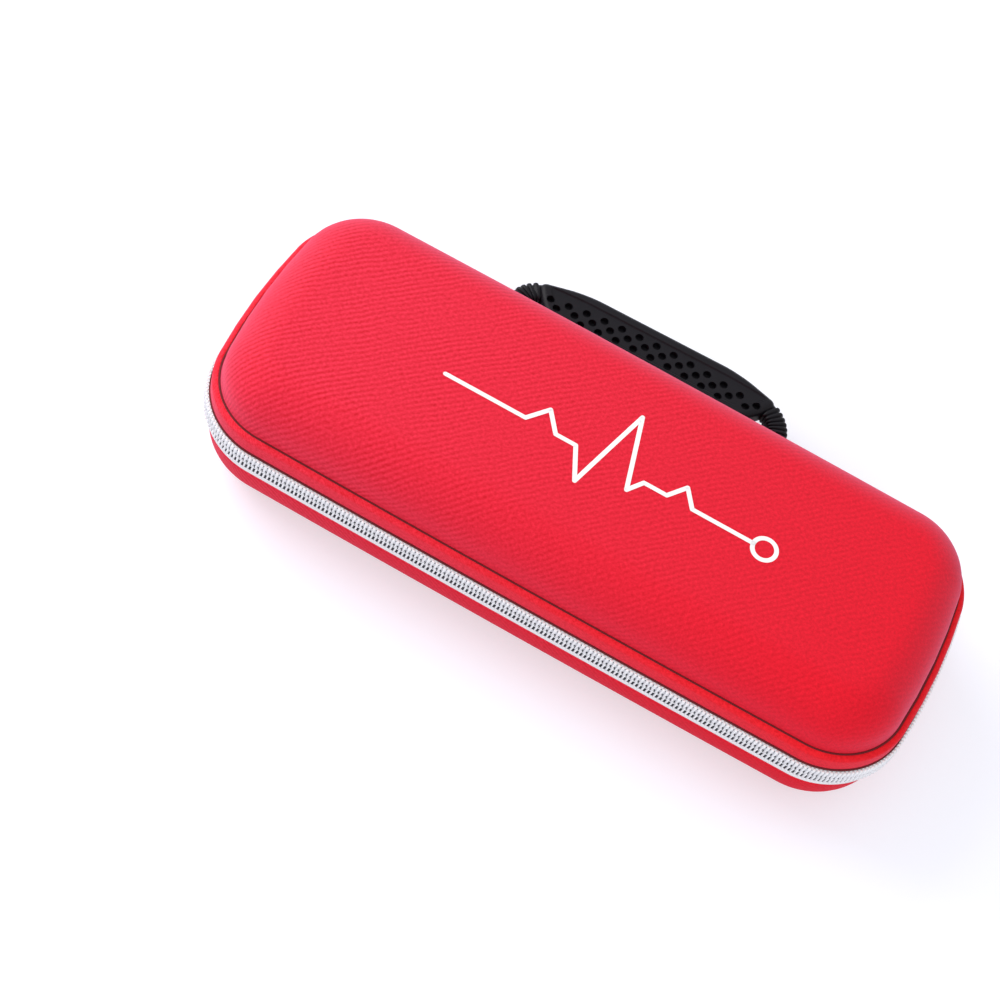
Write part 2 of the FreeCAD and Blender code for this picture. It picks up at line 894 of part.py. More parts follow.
def lid_pocket_net():
    """A flat net with rows of square gaps, trimmed straight along its open front edge."""
    sheet = Part.Face(outline_wire(net_inset, net_low))
    keep = Part.Face(Part.makePolygon([
        Vector(-half_length, net_front, net_low), Vector(half_length, net_front, net_low),
        Vector(half_length, half_width, net_low), Vector(-half_length, half_width, net_low),
        Vector(-half_length, net_front, net_low)]))
    outer = sheet.common(keep).Faces[0].OuterWire
    gaps = []
    inner = net_inset + net_edge_margin
    limit = Part.Face(outline_wire(inner, net_low))
    count_x = int((half_length - inner) / net_pitch_x)
    count_y = int((half_width - inner - net_front) / net_pitch_y)
    for i in range(-count_x, count_x + 1):
        for j in range(count_y):
            x = i * net_pitch_x
            y = net_front + net_edge_margin + net_hole_y / 2 + j * net_pitch_y
            signs = ((-1, -1), (1, -1), (1, 1), (-1, 1))
            corners = [Vector(x + a * net_hole_x / 2, y + b * net_hole_y / 2, net_low) for a, b in signs]
            if all(limit.isInside(corner, glue_gap, True) for corner in corners):
                gaps.append(Part.makePolygon(corners + corners[:1]))
    net = Part.makeFace([outer] + gaps, "Part::FaceMakerBullseye")
    return net.extrude(Vector(0, 0, net_thickness))


def lid_pocket_hem():
    """The elastic along the pocket's open edge, above the net."""
    low = net_low + net_thickness + glue_gap
    band = outline_plate(lid_pan.wall(lining_in, low + hem_thickness - lid_open) + pocket_wall_gap,
                         low, low + hem_thickness)
    return band.common(box(-half_length, half_length, net_front, net_front + hem_width, low,
                           low + hem_thickness))


def lid_pocket_edging():
    """The tape that sews the net to the lining along the back and both ends."""
    high_h = net_height - glue_gap
    low_h = high_h - edging_thickness
    outer = lining_in + glue_gap
    inner = lid_pan.wall(outer, high_h) + edging_width
    points = [(lid_pan.wall(outer, low_h), low_h), (inner, low_h), (inner, high_h),
              (lid_pan.wall(outer, high_h), high_h)]
    ring = swept([(s, lid_pan.z(h), 0) for s, h in points], outline_spans())
    trim = box(-half_length, half_length, -half_width, net_front, lid_open, top)
    return ring.cut(trim)


def strap_floor():
    """Height of the lining's upper face on the floor of the base."""
    return lining_in


def base_strap(side):
    x = side * strap_spacing / 2
    low = strap_floor() + glue_gap
    return box(x - strap_width / 2, x + strap_width / 2, -strap_length / 2, strap_length / 2, low,
               low + strap_thickness)


def strap_left():
    return base_strap(-1)


def strap_right():
    return base_strap(1)


def strap_patches():
    """Sewn patches over the ends of both straps."""
    low = strap_floor() + strap_thickness + 2 * glue_gap
    patches = []
    for side_x in (-1, 1):
        for side_y in (-1, 1):
            x = side_x * strap_spacing / 2
            y0, y1 = sorted((side_y * strap_length / 2, side_y * (strap_length / 2 - patch_length)))
            patches.append(box(x - patch_width / 2, x + patch_width / 2, y0, y1, low,
                               low + patch_thickness))
    return Part.makeCompound(patches)


nodes = [
    base_cover, base_core, base_lining, base_rim, base_binding,
    base_zipper_tape, base_zipper_coil, zipper_tail_lower, zipper_stops, hinge_strip,
    strap_left, strap_right, strap_patches, handle_feet, washer_plates,
    lid_cover, lid_core, lid_lining, lid_rim, lid_binding,
    lid_zipper_tape, lid_zipper_coil, zipper_tail_upper,
    lid_pocket_net, lid_pocket_hem, lid_pocket_edging,
    slider_body, pull_tab,
    handle_grip, handle_webbing, handle_neck_left, handle_neck_right,
]

for make in nodes:
    shape = make()
    shape.exportStep("parts/" + make.__name__ + ".step")
    corners = shape.BoundBox
    print(make.__name__, "solids", len(shape.Solids), "valid", shape.isValid(),
          "volume", round(shape.Volume, 1),
          "x %.2f %.2f y %.2f %.2f z %.2f %.2f" % (corners.XMin, corners.XMax, corners.YMin,
                                                  corners.YMax, corners.ZMin, corners.ZMax))
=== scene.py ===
import math

import bmesh
import bpy
from mathutils import Matrix, Vector, noise


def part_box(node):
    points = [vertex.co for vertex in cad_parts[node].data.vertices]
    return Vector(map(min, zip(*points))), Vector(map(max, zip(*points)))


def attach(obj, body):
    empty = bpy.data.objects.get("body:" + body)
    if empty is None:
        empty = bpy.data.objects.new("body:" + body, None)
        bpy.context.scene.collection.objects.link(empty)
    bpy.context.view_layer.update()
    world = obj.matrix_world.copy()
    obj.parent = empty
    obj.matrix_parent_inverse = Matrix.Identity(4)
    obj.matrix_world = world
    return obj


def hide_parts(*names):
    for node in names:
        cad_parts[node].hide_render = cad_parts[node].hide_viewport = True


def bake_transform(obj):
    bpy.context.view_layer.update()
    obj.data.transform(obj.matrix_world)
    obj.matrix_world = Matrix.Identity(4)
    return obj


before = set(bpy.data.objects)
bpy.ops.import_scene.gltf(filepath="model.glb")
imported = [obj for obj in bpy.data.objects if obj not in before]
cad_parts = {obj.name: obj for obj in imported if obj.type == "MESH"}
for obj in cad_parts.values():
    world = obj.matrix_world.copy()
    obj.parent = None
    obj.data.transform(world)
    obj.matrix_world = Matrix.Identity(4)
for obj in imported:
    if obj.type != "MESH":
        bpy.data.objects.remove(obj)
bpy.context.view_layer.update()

# A zip-up hard case for a stethoscope, in metres. X runs along the case, -Y is the zipper's long side,
# +Y is the hinge and handle side, +Z is up. Places that the frame holds are read from it.

# Plan outline, at the outermost face of the lid rim
half_length = 0.140
half_width = 0.056
corner_radius = 0.031
end_bow = 0.0064
side_bow = 0.00085

# How far inside and outside the outline a place still belongs to it, and how close two places are one
reach_in = 0.04
reach_out = 0.01
arc_slack = 1e-5
weld = 1e-7
seam_weld = 8e-6

# How finely the outline is drawn
corner_steps = 16
span_step = 0.010
side_step = 0.022
grid_step = 0.008

# Heights from the frame
base_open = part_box("base_rim")[1].z
base_rim_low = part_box("base_rim")[0].z
lid_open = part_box("lid_rim")[0].z
lid_rim_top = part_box("lid_rim")[1].z
lid_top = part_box("lid_cover")[1].z
zip_middle = (base_open + lid_open) / 2

# The two fabric-covered pans
draft = math.radians(8)
lid_wall_inset = 0.0037
base_wall_inset = 0.0016
lid_edge_radius = 0.0173
base_edge_radius = 0.0182
flat_inset = 0.0255
cover_thickness = 0.0007
core_inset = 0.0009
core_thickness = 0.0032
lining_inset = 0.0050
lining_thickness = 0.0007
base_band = 0.001
lid_crown = 0.0011
tuck = 0.0019
groove_gap = 0.00065
groove_line_drop = 0.00022
groove_line_depth = 0.0006
groove_line_tuck = 0.0001
base_fold_round = 0.0008

# Rim bead and base rim
lid_rim_depth = 0.0036
lid_rim_upper_round = 0.0017
lid_rim_groove_round = 0.0005
lid_rim_inset = 0.0013
facing_inset = 0.0022
facing_thickness = 0.00045
facing_drop = 0.0015
base_rim_inset = 0.0013
base_rim_depth = 0.0028
base_rim_round = 0.0006
rim_ripple = 0.00009
rim_ripple_length = 0.016

# Zipper
tooth_pitch = 0.00157
tooth_face_inset = -0.0005
tooth_depth = 0.0015
tooth_lean = math.radians(8)
lid_tooth_width = 0.00134
lid_tooth_tip_width = 0.00084
lid_tooth_low = zip_middle - 0.00022
lid_tooth_high = zip_middle + 0.0047
base_tooth_width = 0.00092
base_tooth_tip_width = 0.00078
base_tooth_low = zip_middle - 0.0036
base_tooth_high = zip_middle + 0.0003
cord_inset = 0.00045
cord_proud = 0.00006
# Heights of the rows of painted shade between the teeth, from the chain's middle
dark_rows = ((-0.0038, -0.0016), (-0.0009, 0.0008), (0.0029, 0.0034))
cord_low = zip_middle - 0.0039
cord_high = zip_middle + 0.0044
chain_half_gap = 0.0001
tape_inset = 0.0016
tape_thickness = 0.0005
flare_inset = 0.0003
flare_high = zip_middle - 0.0042
flare_upper_round = 0.0008
flare_round = 0.0007
flare_foot_round = 0.0003
stitch_radius = 0.00022
stitch_lean = math.radians(76)
hinge_half_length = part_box("hinge_strip")[1].x
hinge_fold_half = 0.003
hinge_fold_round = 0.001
chain_start = -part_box("zipper_stops")[1].x
slider_low, slider_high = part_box("slider_body")
slider_x = (slider_low.x + slider_high.x) / 2
tail_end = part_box("zipper_tail_lower")[1].x
narrow_ramp = 0.008
narrow_share = 0.60
narrow_sink = 0.0008
tail_bend = 0.006
seam_shadow = (0.0046, 0.0051)
seam_proud = 0.0005
tail_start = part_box("zipper_tail_lower")[0].x

# Handle
feet_low, feet_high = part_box("handle_feet")
handle_middle = (feet_low.x + feet_high.x) / 2
handle_height = (feet_low.z + feet_high.z) / 2
foot_width = 0.011
foot_half_spacing = (feet_high.x - feet_low.x - foot_width) / 2
foot_face = feet_high.y
grip_low, grip_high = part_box("handle_grip")
grip_outer = grip_high.y - 0.0006
grip_inner = grip_low.y
grip_middle = Vector((0, (grip_outer + grip_inner) / 2, 0))
neck_end = Vector((0.0495, 0.0805, 0))
grip_end_half = 0.0042
grip_flat_half = 0.033
grip_inner_half = 0.041
grip_outer_round = 0.050
grip_inner_round = 0.008
grip_end_round = 0.0028
grip_edge_round = 0.0023
grip_border = 0.0036
grip_slope_x = 0.03
grip_slope_y = 0.16
grip_recess = 0.0005
grip_shift = -0.0018
grip_skew = math.radians(1.4)
dimple_radius = 0.00165
dimple_depth = 0.0021
dimple_pitch = 0.00735
dimple_row_step = 0.00305
dimple_first_row = 0.0073
dimple_row_bow = 0.0036
dimple_half_counts = (6, 6, 4)
neck_width = 0.0084
neck_thickness = 0.0069
neck_groove = 0.80
rib_pitch = 0.0021
neck_turn = math.radians(57)
neck_heading = Vector((-math.sin(neck_turn), math.cos(neck_turn), 0))
neck_reach = 0.009
neck_start_share = 1.4
neck_corner_power = 0.55
rib_samples = 40
# One rib: how far along it, and how wide there, as shares
rib_shares = ((0.0, neck_groove), (0.22, neck_groove), (0.36, 0.97), (0.61, 1.0), (0.86, 0.97))

# Inside
binding_outer = 0.0023
binding_round = 0.0005
base_binding_low, base_binding_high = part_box("base_binding")
lid_binding_low, lid_binding_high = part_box("lid_binding")
binding_thickness = 0.0007
net_low, net_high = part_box("lid_pocket_net")
hem_low, hem_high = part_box("lid_pocket_hem")
edging_low, edging_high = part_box("lid_pocket_edging")
edging_width = 0.0034
net_cell = 0.0024
net_thread = 0.00042
strap_lift = 0.0012
strap_lift_share = 1.15
strap_long_edge = 0.02
strap_cuts = 12
patch_length = 0.029
patch_width = 0.011

# Print on the lid: the corners of its line, on the plan
print_line = ((-0.062, -0.004), (-0.030, -0.004), (-0.024, 0.004), (-0.018, -0.004), (-0.010, -0.004),
              (-0.004, -0.017), (0.005, 0.020), (0.013, -0.010), (0.017, -0.004), (0.026, -0.004),
              (0.031, 0.003), (0.036, -0.004), (0.060, -0.004))
print_lift = 0.00007
print_width = 0.0017
print_step = 0.002
print_ring = 0.0052
ring_steps = 40

# Cloths and grains: one cycle of a wave, and how deep the bumps are
full_turn = 2 * math.pi
twill_depth = 0.0001
band_depth = 0.0001
knit_depth = 0.00012
elastic_depth = 0.0002
foam_depth = 0.0001
webbing_depth = 0.00005
thread_depth = 0.00003
smooth_depth = 0.00002

# Red cloth: painted sheen and painted raking light that grow from right to left, per metre of X and at the
# middle
left_rise = -4.0
left_middle = 0.55
clear_rise = 0.85
clear_right = 0.30
painted_sheen_share = 0.4
painted_sheen_pink = (0.80, 0.075, 0.155)
sheen_tint = (1.0, 0.36, 0.6, 1)

# Camera, found from the photograph; the turn is a rotation vector from the frame to the view
camera_place = (0.04593, -0.45508, 0.74232)
camera_turn = (2.496, 0.678, 0.076)
camera_focal = 2349.7
photo_width = 1000
sensor_width = 36
camera_far = 20

# Studio
floor_size = 12.0
floor_drop = 0.0004
floor_colour = (0.63, 0.65, 0.74, 1)
floor_glow = 0.41
world_light = 0.6
# Name, place, the place it points at, size, power and colour
studio_lamps = (
    ("key", (-1.15, 0.35, 0.95), (0, 0, 0.03), (1.2, 0.9), 12.8, (1.0, 0.985, 0.985)),
    ("fill", (0.5, -1.35, 1.1), (0, 0, 0.03), (1.4, 1.0), 13, (0.96, 0.975, 1.0)),
    ("left strip", (-0.52, 0.06, 0.30), (-0.12, 0, 0.05), (0.35, 0.45), 0.8, (1.0, 0.95, 1.0)),
)


def unit(a, b):
    size = math.hypot(a, b)
    return a / size, b / size


class Arc:
    """One arc of the plan outline, and how far along the outline it starts."""

    def __init__(self, x, y, radius, first, last, start=0.0):
        self.x = x
        self.y = y
        self.radius = radius
        self.first = first
        self.last = last
        self.start = start

    def length(self):
        return self.radius * (self.last - self.first)

    def point(self, inset, angle, z):
        reach = self.radius - inset
        return Vector((self.x + reach * math.cos(angle), self.y + reach * math.sin(angle), z))


end_radius = (half_width ** 2 + end_bow ** 2) / (2 * end_bow)
side_radius = (half_length ** 2 + side_bow ** 2) / (2 * side_bow)
end_x = half_length - end_radius
side_y = half_width - side_radius


def corner_centre():
    """Centre of the corner arc that touches the end arc and the side arc from inside."""
    to_end = end_radius - corner_radius
    to_side = side_radius - corner_radius
    apart = math.hypot(end_x, side_y)
    along = (to_end ** 2 - to_side ** 2 + apart ** 2) / (2 * apart)
    across = math.sqrt(to_end ** 2 - along ** 2)
    ux, uy = unit(-end_x, side_y)
    return abs(end_x + along * ux - across * uy), abs(along * uy + across * ux)


corner_x, corner_y = corner_centre()
end_turn = math.atan2(corner_y, corner_x - end_x)
side_turn = math.atan2(corner_y - side_y, corner_x)


def outline_arcs():
    """The whole outline, anticlockwise from the back middle."""
    pi = math.pi
    arcs = [
        Arc(0, side_y, side_radius, pi / 2, pi - side_turn),
        Arc(-corner_x, corner_y, corner_radius, pi - side_turn, pi - end_turn),
        Arc(-end_x, 0, end_radius, pi - end_turn, pi + end_turn),
        Arc(-corner_x, -corner_y, corner_radius, pi + end_turn, pi + side_turn),
        Arc(0, -side_y, side_radius, pi + side_turn, 2 * pi - side_turn),
        Arc(corner_x, -corner_y, corner_radius, 2 * pi - side_turn, 2 * pi - end_turn),
        Arc(end_x, 0, end_radius, 2 * pi - end_turn, 2 * pi + end_turn),
        Arc(corner_x, corner_y, corner_radius, 2 * pi + end_turn, 2 * pi + side_turn),
        Arc(0, side_y, side_radius, 2 * pi + side_turn, 2 * pi + pi / 2),
    ]
    run = 0.0
    for arc in arcs:
        arc.start = run
        run += arc.length()
    return arcs


whole_loop = outline_arcs()
loop_length = whole_loop[-1].start + whole_loop[-1].length()


def arcs_between(first, last):
    """The stretch of outline between two runs; last may lie past one full turn."""
    picked = []
    for turn_start in (-loop_length, 0.0, loop_length):
        for arc in whole_loop:
            start = arc.start + turn_start
            low = max(first, start)
            high = min(last, start + arc.length())
            if high - low > arc_slack:
                piece = Arc(arc.x, arc.y, arc.radius, arc.first + (low - start) / arc.radius,
                            arc.first + (high - start) / arc.radius, low - first)
                picked.append(piece)
    return picked


def back_run(x):
    """Run of the place at x on the back side; it is below 0 right of the middle."""
    return side_radius * (math.acos(x / side_radius) - math.pi / 2)


def locate(x, y):
    """How far round the outline a plan place lies, the outward direction, and how far inside it is."""
    for arc in whole_loop:
        inset = arc.radius - math.hypot(x - arc.x, y - arc.y)
        if arc.radius > corner_radius and not -reach_out < inset < reach_in:
            continue
        angle = math.atan2(y - arc.y, x - arc.x)
        turned = (angle - arc.first + arc_slack) % (2 * math.pi) - arc_slack
        if turned <= arc.last - arc.first + arc_slack:
            return arc.start + turned * arc.radius, Vector((math.cos(angle), math.sin(angle), 0)), inset
    return 0.0, Vector((0, 1, 0)), reach_in


def stand_at(arcs, run, inset):
    """Place at a run along arcs, with the direction of travel and the outward one."""
    arc = arcs[-1]
    for candidate in arcs:
        if run <= candidate.start + candidate.length():
            arc = candidate
            break
    angle = arc.first + (run - arc.start) / arc.radius
    outward = Vector((math.cos(angle), math.sin(angle), 0))
    return arc.point(inset, angle, 0), Vector((-outward.y, outward.x, 0)), outward


def arcs_length(arcs):
    return arcs[-1].start + arcs[-1].length()


# Mesh helpers

def new_piece(name, bm, body=None, material=None, stands_for=(), sharp=None):
    """Turns a bmesh into a finished piece, smooth except past the sharp angle, riding on its body."""
    if sharp is not None:
        for edge in bm.edges:
            if len(edge.link_faces) == 2:
                edge.smooth = edge.calc_face_angle(0) < math.radians(sharp)
    mesh = bpy.data.meshes.new(name)
    bm.to_mesh(mesh)
    bm.free()
    for polygon in mesh.polygons:
        polygon.use_smooth = True
    piece = bpy.data.objects.new(name, mesh)
    bpy.context.scene.collection.objects.link(piece)
    if material:
        mesh.materials.append(material)
    if body:
        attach(piece, body)
    if stands_for:
        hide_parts(*stands_for)
    return piece


def thicken(piece, thickness):
    wall = piece.modifiers.new("wall", "SOLIDIFY")
    wall.thickness = thickness
    wall.offset = -1
    return piece


def round_vertex(bm, vert, radius, segments):
    """Rounds one corner of a wire outline to a radius."""
    ends = [edge.other_vert(vert).co - vert.co for edge in vert.link_edges]
    half = ends[0].angle(ends[1]) / 2
    bmesh.ops.bevel(bm, geom=[vert], offset=radius / math.tan(half), offset_type="OFFSET",
                    segments=segments, profile=0.5, affect="VERTICES", material=-1)


def draw_wire(bm, places, rounds, closed):
    """A wire through places, with the corners rounded by (radius, segments)."""
    verts = [bm.verts.new(place) for place in places]
    corner = verts[0].co.copy()
    pairs = list(zip(verts, verts[1:]))
    if closed:
        pairs.append((verts[-1], verts[0]))
    for pair in pairs:
        bm.edges.new(pair)
    for vert, corner_round in zip(verts, rounds):
        if corner_round:
            round_vertex(bm, vert, corner_round[0], corner_round[1])
    return min(bm.verts, key=lambda vert: (vert.co - corner).length)


def draw_section(bm, arc, points, closed):
    """A section across the outline from (inset, z, radius, segments), at an arc's start."""
    places = [arc.point(point[0], arc.first, point[1]) for point in points]
    return draw_wire(bm, places, [point[2:] for point in points], closed)


def mark_along(first, layer):
    """Stores on each vertex how far along the section it lies."""
    seen = {first}
    here = first
    along = 0.0
    while here:
        here[layer] = along
        ahead = [edge.other_vert(here) for edge in here.link_edges]
        ahead = [vert for vert in ahead if vert not in seen]
        following = ahead[0] if ahead else None
        if following:
            along += (following.co - here.co).length
            seen.add(following)
        here = following


def carry(bm, arcs):
    """Carries the section along the arcs, turning it about each arc's own centre."""
    geom = bm.verts[:] + bm.edges[:]
    start = list(geom)
    for arc in arcs:
        turn = arc.last - arc.first
        steps = max(2, int(arc.length() / (side_step if arc.radius == side_radius else span_step)))
        if arc.radius == corner_radius:
            steps = max(2, int(corner_steps * turn / (end_turn + math.pi / 2 - side_turn) + 1))
        made = bmesh.ops.spin(bm, geom=geom, cent=(arc.x, arc.y, 0), axis=(0, 0, 1), dvec=(0, 0, 0),
                              angle=turn, steps=steps, use_merge=False, use_normal_flip=False,
                              use_duplicate=False)
        geom = made["geom_last"]
    return start, geom


def carry_round(bm):
    """Carries the section round a quarter of the outline, and mirrors it to the other three."""
    carry(bm, arcs_between(0, loop_length / 4))
    for axis in ("X", "Y"):
        bmesh.ops.mirror(bm, geom=bm.verts[:] + bm.edges[:] + bm.faces[:], matrix=Matrix.Identity(4),
                         merge_dist=seam_weld, axis=axis)


def lay_run_uv(bm, along_layer):
    """UV in metres: how far round the case, and how far along the section."""
    uv = bm.loops.layers.uv.new("run")
    where = {vert: locate(vert.co.x, vert.co.y)[0] for vert in bm.verts}
    for face in bm.faces:
        runs = [where[loop.vert] for loop in face.loops]
        wrap_run = max(runs) - min(runs) > loop_length / 2
        for loop, run in zip(face.loops, runs):
            if wrap_run and run < loop_length / 2:
                run += loop_length
            loop[uv].uv = (run, loop.vert[along_layer])


def sweep(points, arcs):
    """A closed section carried along arcs, with its UV map; an open run is capped."""
    bm = bmesh.new()
    layer = bm.verts.layers.float.new("along")
    mark_along(draw_section(bm, arcs[0], points, closed=True), layer)
    if arcs is whole_loop:
        carry_round(bm)
    else:
        for ends in carry(bm, arcs):
            edges = [item for item in ends if isinstance(item, bmesh.types.BMEdge)]
            bmesh.ops.contextual_create(bm, geom=edges)
    bmesh.ops.recalc_face_normals(bm, faces=bm.faces)
    lay_run_uv(bm, layer)
    return bm


def ripple(bm, depth, size):
    """Lets the outer part of a sewn fabric edge wander a little in and out."""
    for vert in bm.verts:
        run, outward, inset = locate(vert.co.x, vert.co.y)
        share = max(0.0, 1 - inset / lid_rim_depth)
        wander = noise.noise(Vector((run / size, 0, 0))) + noise.noise(Vector((run * 3 / size, 7, 0))) / 2
        vert.co += outward * depth * wander * share


def bar(low, high, round_radius, segments=3):
    """A rounded bar that fills a box, with a UV map along its longest sides."""
    bm = bmesh.new()
    bmesh.ops.create_cube(bm, size=1)
    size = high - low
    middle = (high + low) / 2
    bmesh.ops.scale(bm, vec=size, verts=bm.verts)
    bmesh.ops.translate(bm, vec=middle, verts=bm.verts)
    bmesh.ops.bevel(bm, geom=bm.edges[:], offset=round_radius, offset_type="OFFSET", segments=segments,
                    profile=0.5, affect="EDGES", material=-1)
    lay_plan_uv(bm)
    return bm


def lay_plan_uv(bm):
    """UV in metres: along X, and over Y and Z together."""
    uv = bm.loops.layers.uv.new("run")
    for face in bm.faces:
        for loop in face.loops:
            loop[uv].uv = (loop.vert.co.x, loop.vert.co.y + loop.vert.co.z)


def to_cell(bm):
    mesh = bpy.data.meshes.new("cell")
    bm.to_mesh(mesh)
    bm.free()
    return mesh


def repeat_along(cell, arcs, pitch, inset, z):
    """Copies of a cell along the outline: its X is the way round, its Y points inwards."""
    bm = bmesh.new()
    count = int(arcs_length(arcs) / pitch)
    for i in range(count):
        place, ahead, outward = stand_at(arcs, i * pitch, inset)
        turn = Matrix((ahead, -outward, Vector((0, 0, 1)))).transposed().to_4x4()
        turn.translation = Vector((place.x, place.y, z))
        moved = cell.copy()
        moved.transform(turn)
        bm.from_mesh(moved)
        bpy.data.meshes.remove(moved)
    return bm


def capsule(width, tip_width, depth, length, u=8, v=7):
    """An upright round-ended bar about the origin, tapering downwards from width to tip_width."""
    bm = bmesh.new()
    bmesh.ops.create_uvsphere(bm, u_segments=u, v_segments=v, radius=0.5)
    for vert in bm.verts:
        wide = width if vert.co.z > 0 else tip_width
        stretch = math.copysign((length - wide) / 2, vert.co.z)
        vert.co = Vector((vert.co.x * wide, vert.co.y * depth, vert.co.z * wide + stretch))
    return bm


# Shells: lid and base

def pan_points(wall_inset, knee_z, flat_z, edge_radius, segments):
    """Round edge and flat of a drafted pan, as section points."""
    depth = abs(flat_z - knee_z)
    return [(wall_inset + math.tan(draft) * depth, flat_z, edge_radius, segments), (flat_inset, flat_z)]


def crown_at(x, y):
    """How far the lid's top stands up at a plan place."""
    across = max(0.0, 1 - (y / half_width) ** 2)
    along = max(0.0, 1 - (abs(x) / half_length) ** 3)
    return lid_crown * across * along


def cut_grid(bm, z):
    """Cuts the filled flat into a grid, so that it can be crowned."""
    faces = [face for face in bm.faces if all(abs(v.co.z - z) < weld for v in face.verts)]
    geom = faces + list({edge for face in faces for edge in face.edges})
    geom += list({vert for face in faces for vert in face.verts})
    for axis, reach in ((0, half_length), (1, half_width)):
        count = int(reach / grid_step)
        for i in range(-count, count + 1):
            place = Vector((0, 0, z))
            place[axis] = i * grid_step
            normal = Vector((0, 0, 0))
            normal[axis] = 1
            cut = bmesh.ops.bisect_plane(bm, geom=geom, dist=weld, plane_co=place, plane_no=normal,
                                         clear_inner=False, clear_outer=False)
            geom = cut["geom"]


def make_shell(points, out, crown_from=None, grid=True):
    """An open shell with its section round the outline and a filled flat; out is +1 or -1 for the way
    that the flat faces."""
    bm = bmesh.new()
    layer = bm.verts.layers.float.new("along")
    mark_along(draw_section(bm, whole_loop[0], points, closed=False), layer)
    total = max(vert[layer] for vert in bm.verts)
    for vert in bm.verts:
        vert[layer] = total - vert[layer]
    carry_round(bm)
    flat_z = points[-1][1]
    rim = [edge for edge in bm.edges
           if edge.is_boundary and all(abs(v.co.z - flat_z) < weld for v in edge.verts)]
    bmesh.ops.contextual_create(bm, geom=rim)
    if grid:
        cut_grid(bm, flat_z)
    bmesh.ops.recalc_face_normals(bm, faces=bm.faces)
    flat = max(bm.faces, key=lambda face: abs(face.normal.z))
    if flat.normal.z * out < 0:
        bmesh.ops.reverse_faces(bm, faces=bm.faces)
    lay_cloth_uv(bm, layer)
    if crown_from is not None:
        for vert in bm.verts:
            share = min(1.0, max(0.0, (vert.co.z - crown_from) / (flat_z - crown_from)))
            vert.co.z += crown_at(vert.co.x, vert.co.y) * share ** 2
    return bm


def lay_cloth_uv(bm, layer):
    """UV in metres of the cloth before it was moulded: the plan of the flat, and the sides folded out."""
    uv = bm.loops.layers.uv.new("plan")
    for vert in bm.verts:
        cloth = vert.co.copy()
        if vert[layer] > weld:
            _, outward, inset = locate(vert.co.x, vert.co.y)
            cloth += outward * (vert[layer] - flat_inset + inset)
        for loop in vert.link_loops:
            loop[uv].uv = cloth.xy


def lid_cover_piece(material):
    points = [
        (lid_rim_depth, lid_rim_top - tuck),
        (lid_wall_inset + groove_gap, lid_rim_top, lid_rim_groove_round, 3),
    ] + pan_points(lid_wall_inset, lid_rim_top, lid_top, lid_edge_radius, 12)
    bm = make_shell(points, 1, crown_from=lid_rim_top)
    piece = new_piece("lid_fabric_cover", bm, "lid", material, ["lid_cover"])
    return thicken(piece, cover_thickness)


def base_cover_piece(material):
    points = [
        (base_rim_depth, base_rim_low + tuck / 4),
        (base_wall_inset, base_rim_low - base_band / 2, base_fold_round, 3),
    ] + pan_points(base_wall_inset, base_rim_low - base_band, 0, base_edge_radius, 12)
    bm = make_shell(points, -1)
    piece = new_piece("base_fabric_cover", bm, "base", material, ["base_cover"])
    return thicken(piece, cover_thickness)


def core_piece(name, body, node, material, wall_inset, knee_z, open_z, flat_z, edge_radius, out):
    """The moulded foam between a cover and its lining."""
    points = [(wall_inset, open_z)] + pan_points(wall_inset, knee_z, flat_z, edge_radius, 8)
    bm = make_shell(points, out, grid=False)
    piece = new_piece(name, bm, body, material, [node])
    thicken(piece, core_thickness)


def lining_piece(name, body, node, material, wall_inset, knee_z, open_z, flat_z, edge_radius, out):
    """The knitted lining on the inside of one pan."""
    points = [(wall_inset, open_z)] + pan_points(wall_inset, knee_z, flat_z, edge_radius, 10)
    bm = make_shell(points, out)
    piece = new_piece(name, bm, body, material, [node])
    return thicken(piece, lining_thickness)


# Rims

def lid_rim_piece(material):
    """The fabric bead above the zipper, with the facing that drops behind its lower edge."""
    flap_low = lid_open - facing_drop
    points = [
        (lid_rim_depth, lid_rim_top, lid_rim_groove_round, 4),
        (lid_rim_inset, lid_rim_top, lid_rim_upper_round, 8),
        (lid_rim_inset, flap_low, facing_thickness, 3),
        (facing_inset, flap_low),
        (facing_inset, lid_open + facing_thickness),
        (lid_rim_depth, lid_open + facing_thickness),
    ]
    bm = sweep(points, whole_loop)
    ripple(bm, rim_ripple, rim_ripple_length)
    return new_piece("lid_rim_bead", bm, "lid", material, ["lid_rim"])


def groove_line_piece(material):
    """A dark strip at the bottom of the groove between the lid's cover and its rim: painted shade in the
    groove.
    """
    outer = lid_rim_depth - groove_line_tuck
    inner = lid_wall_inset + groove_gap
    high = lid_rim_top - groove_line_drop
    low = high - groove_line_depth
    points = [(outer, low), (outer, high), (inner, high), (inner, low)]
    return new_piece("lid_groove_line", sweep(points, whole_loop), "lid", material)


def base_rim_piece(material):
    """The thin fabric roll below the zipper."""
    points = [
        (base_rim_depth, base_open),
        (base_rim_inset, base_open, base_rim_round, 4),
        (base_rim_inset, base_rim_low, base_rim_round * 1.5, 5),
        (base_rim_depth, base_rim_low),
    ]
    bm = sweep(points, whole_loop)
    ripple(bm, rim_ripple, rim_ripple_length)
    return new_piece("base_rim_roll", bm, "base", material, ["base_rim"])


# Zipper

def half_arcs(part, last_x, first_x=chain_start):
    """The stretch of a zipper half: the base's is one run, and the lid's has a tail at the slider."""
    first = back_run(first_x)
    split = loop_length + back_run(tail_end + tail_bend)
    last = loop_length + back_run(last_x)
    if part == "lid":
        return arcs_between(first, split)
    if part == "tail":
        return arcs_between(split, last)
    return arcs_between(first, last)


def hold(piece, part):
    """The lid's tail is left where it is built, on no body; the other halves ride on their own body."""
    if part == "tail":
        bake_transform(piece)
    else:
        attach(piece, part)
    return piece


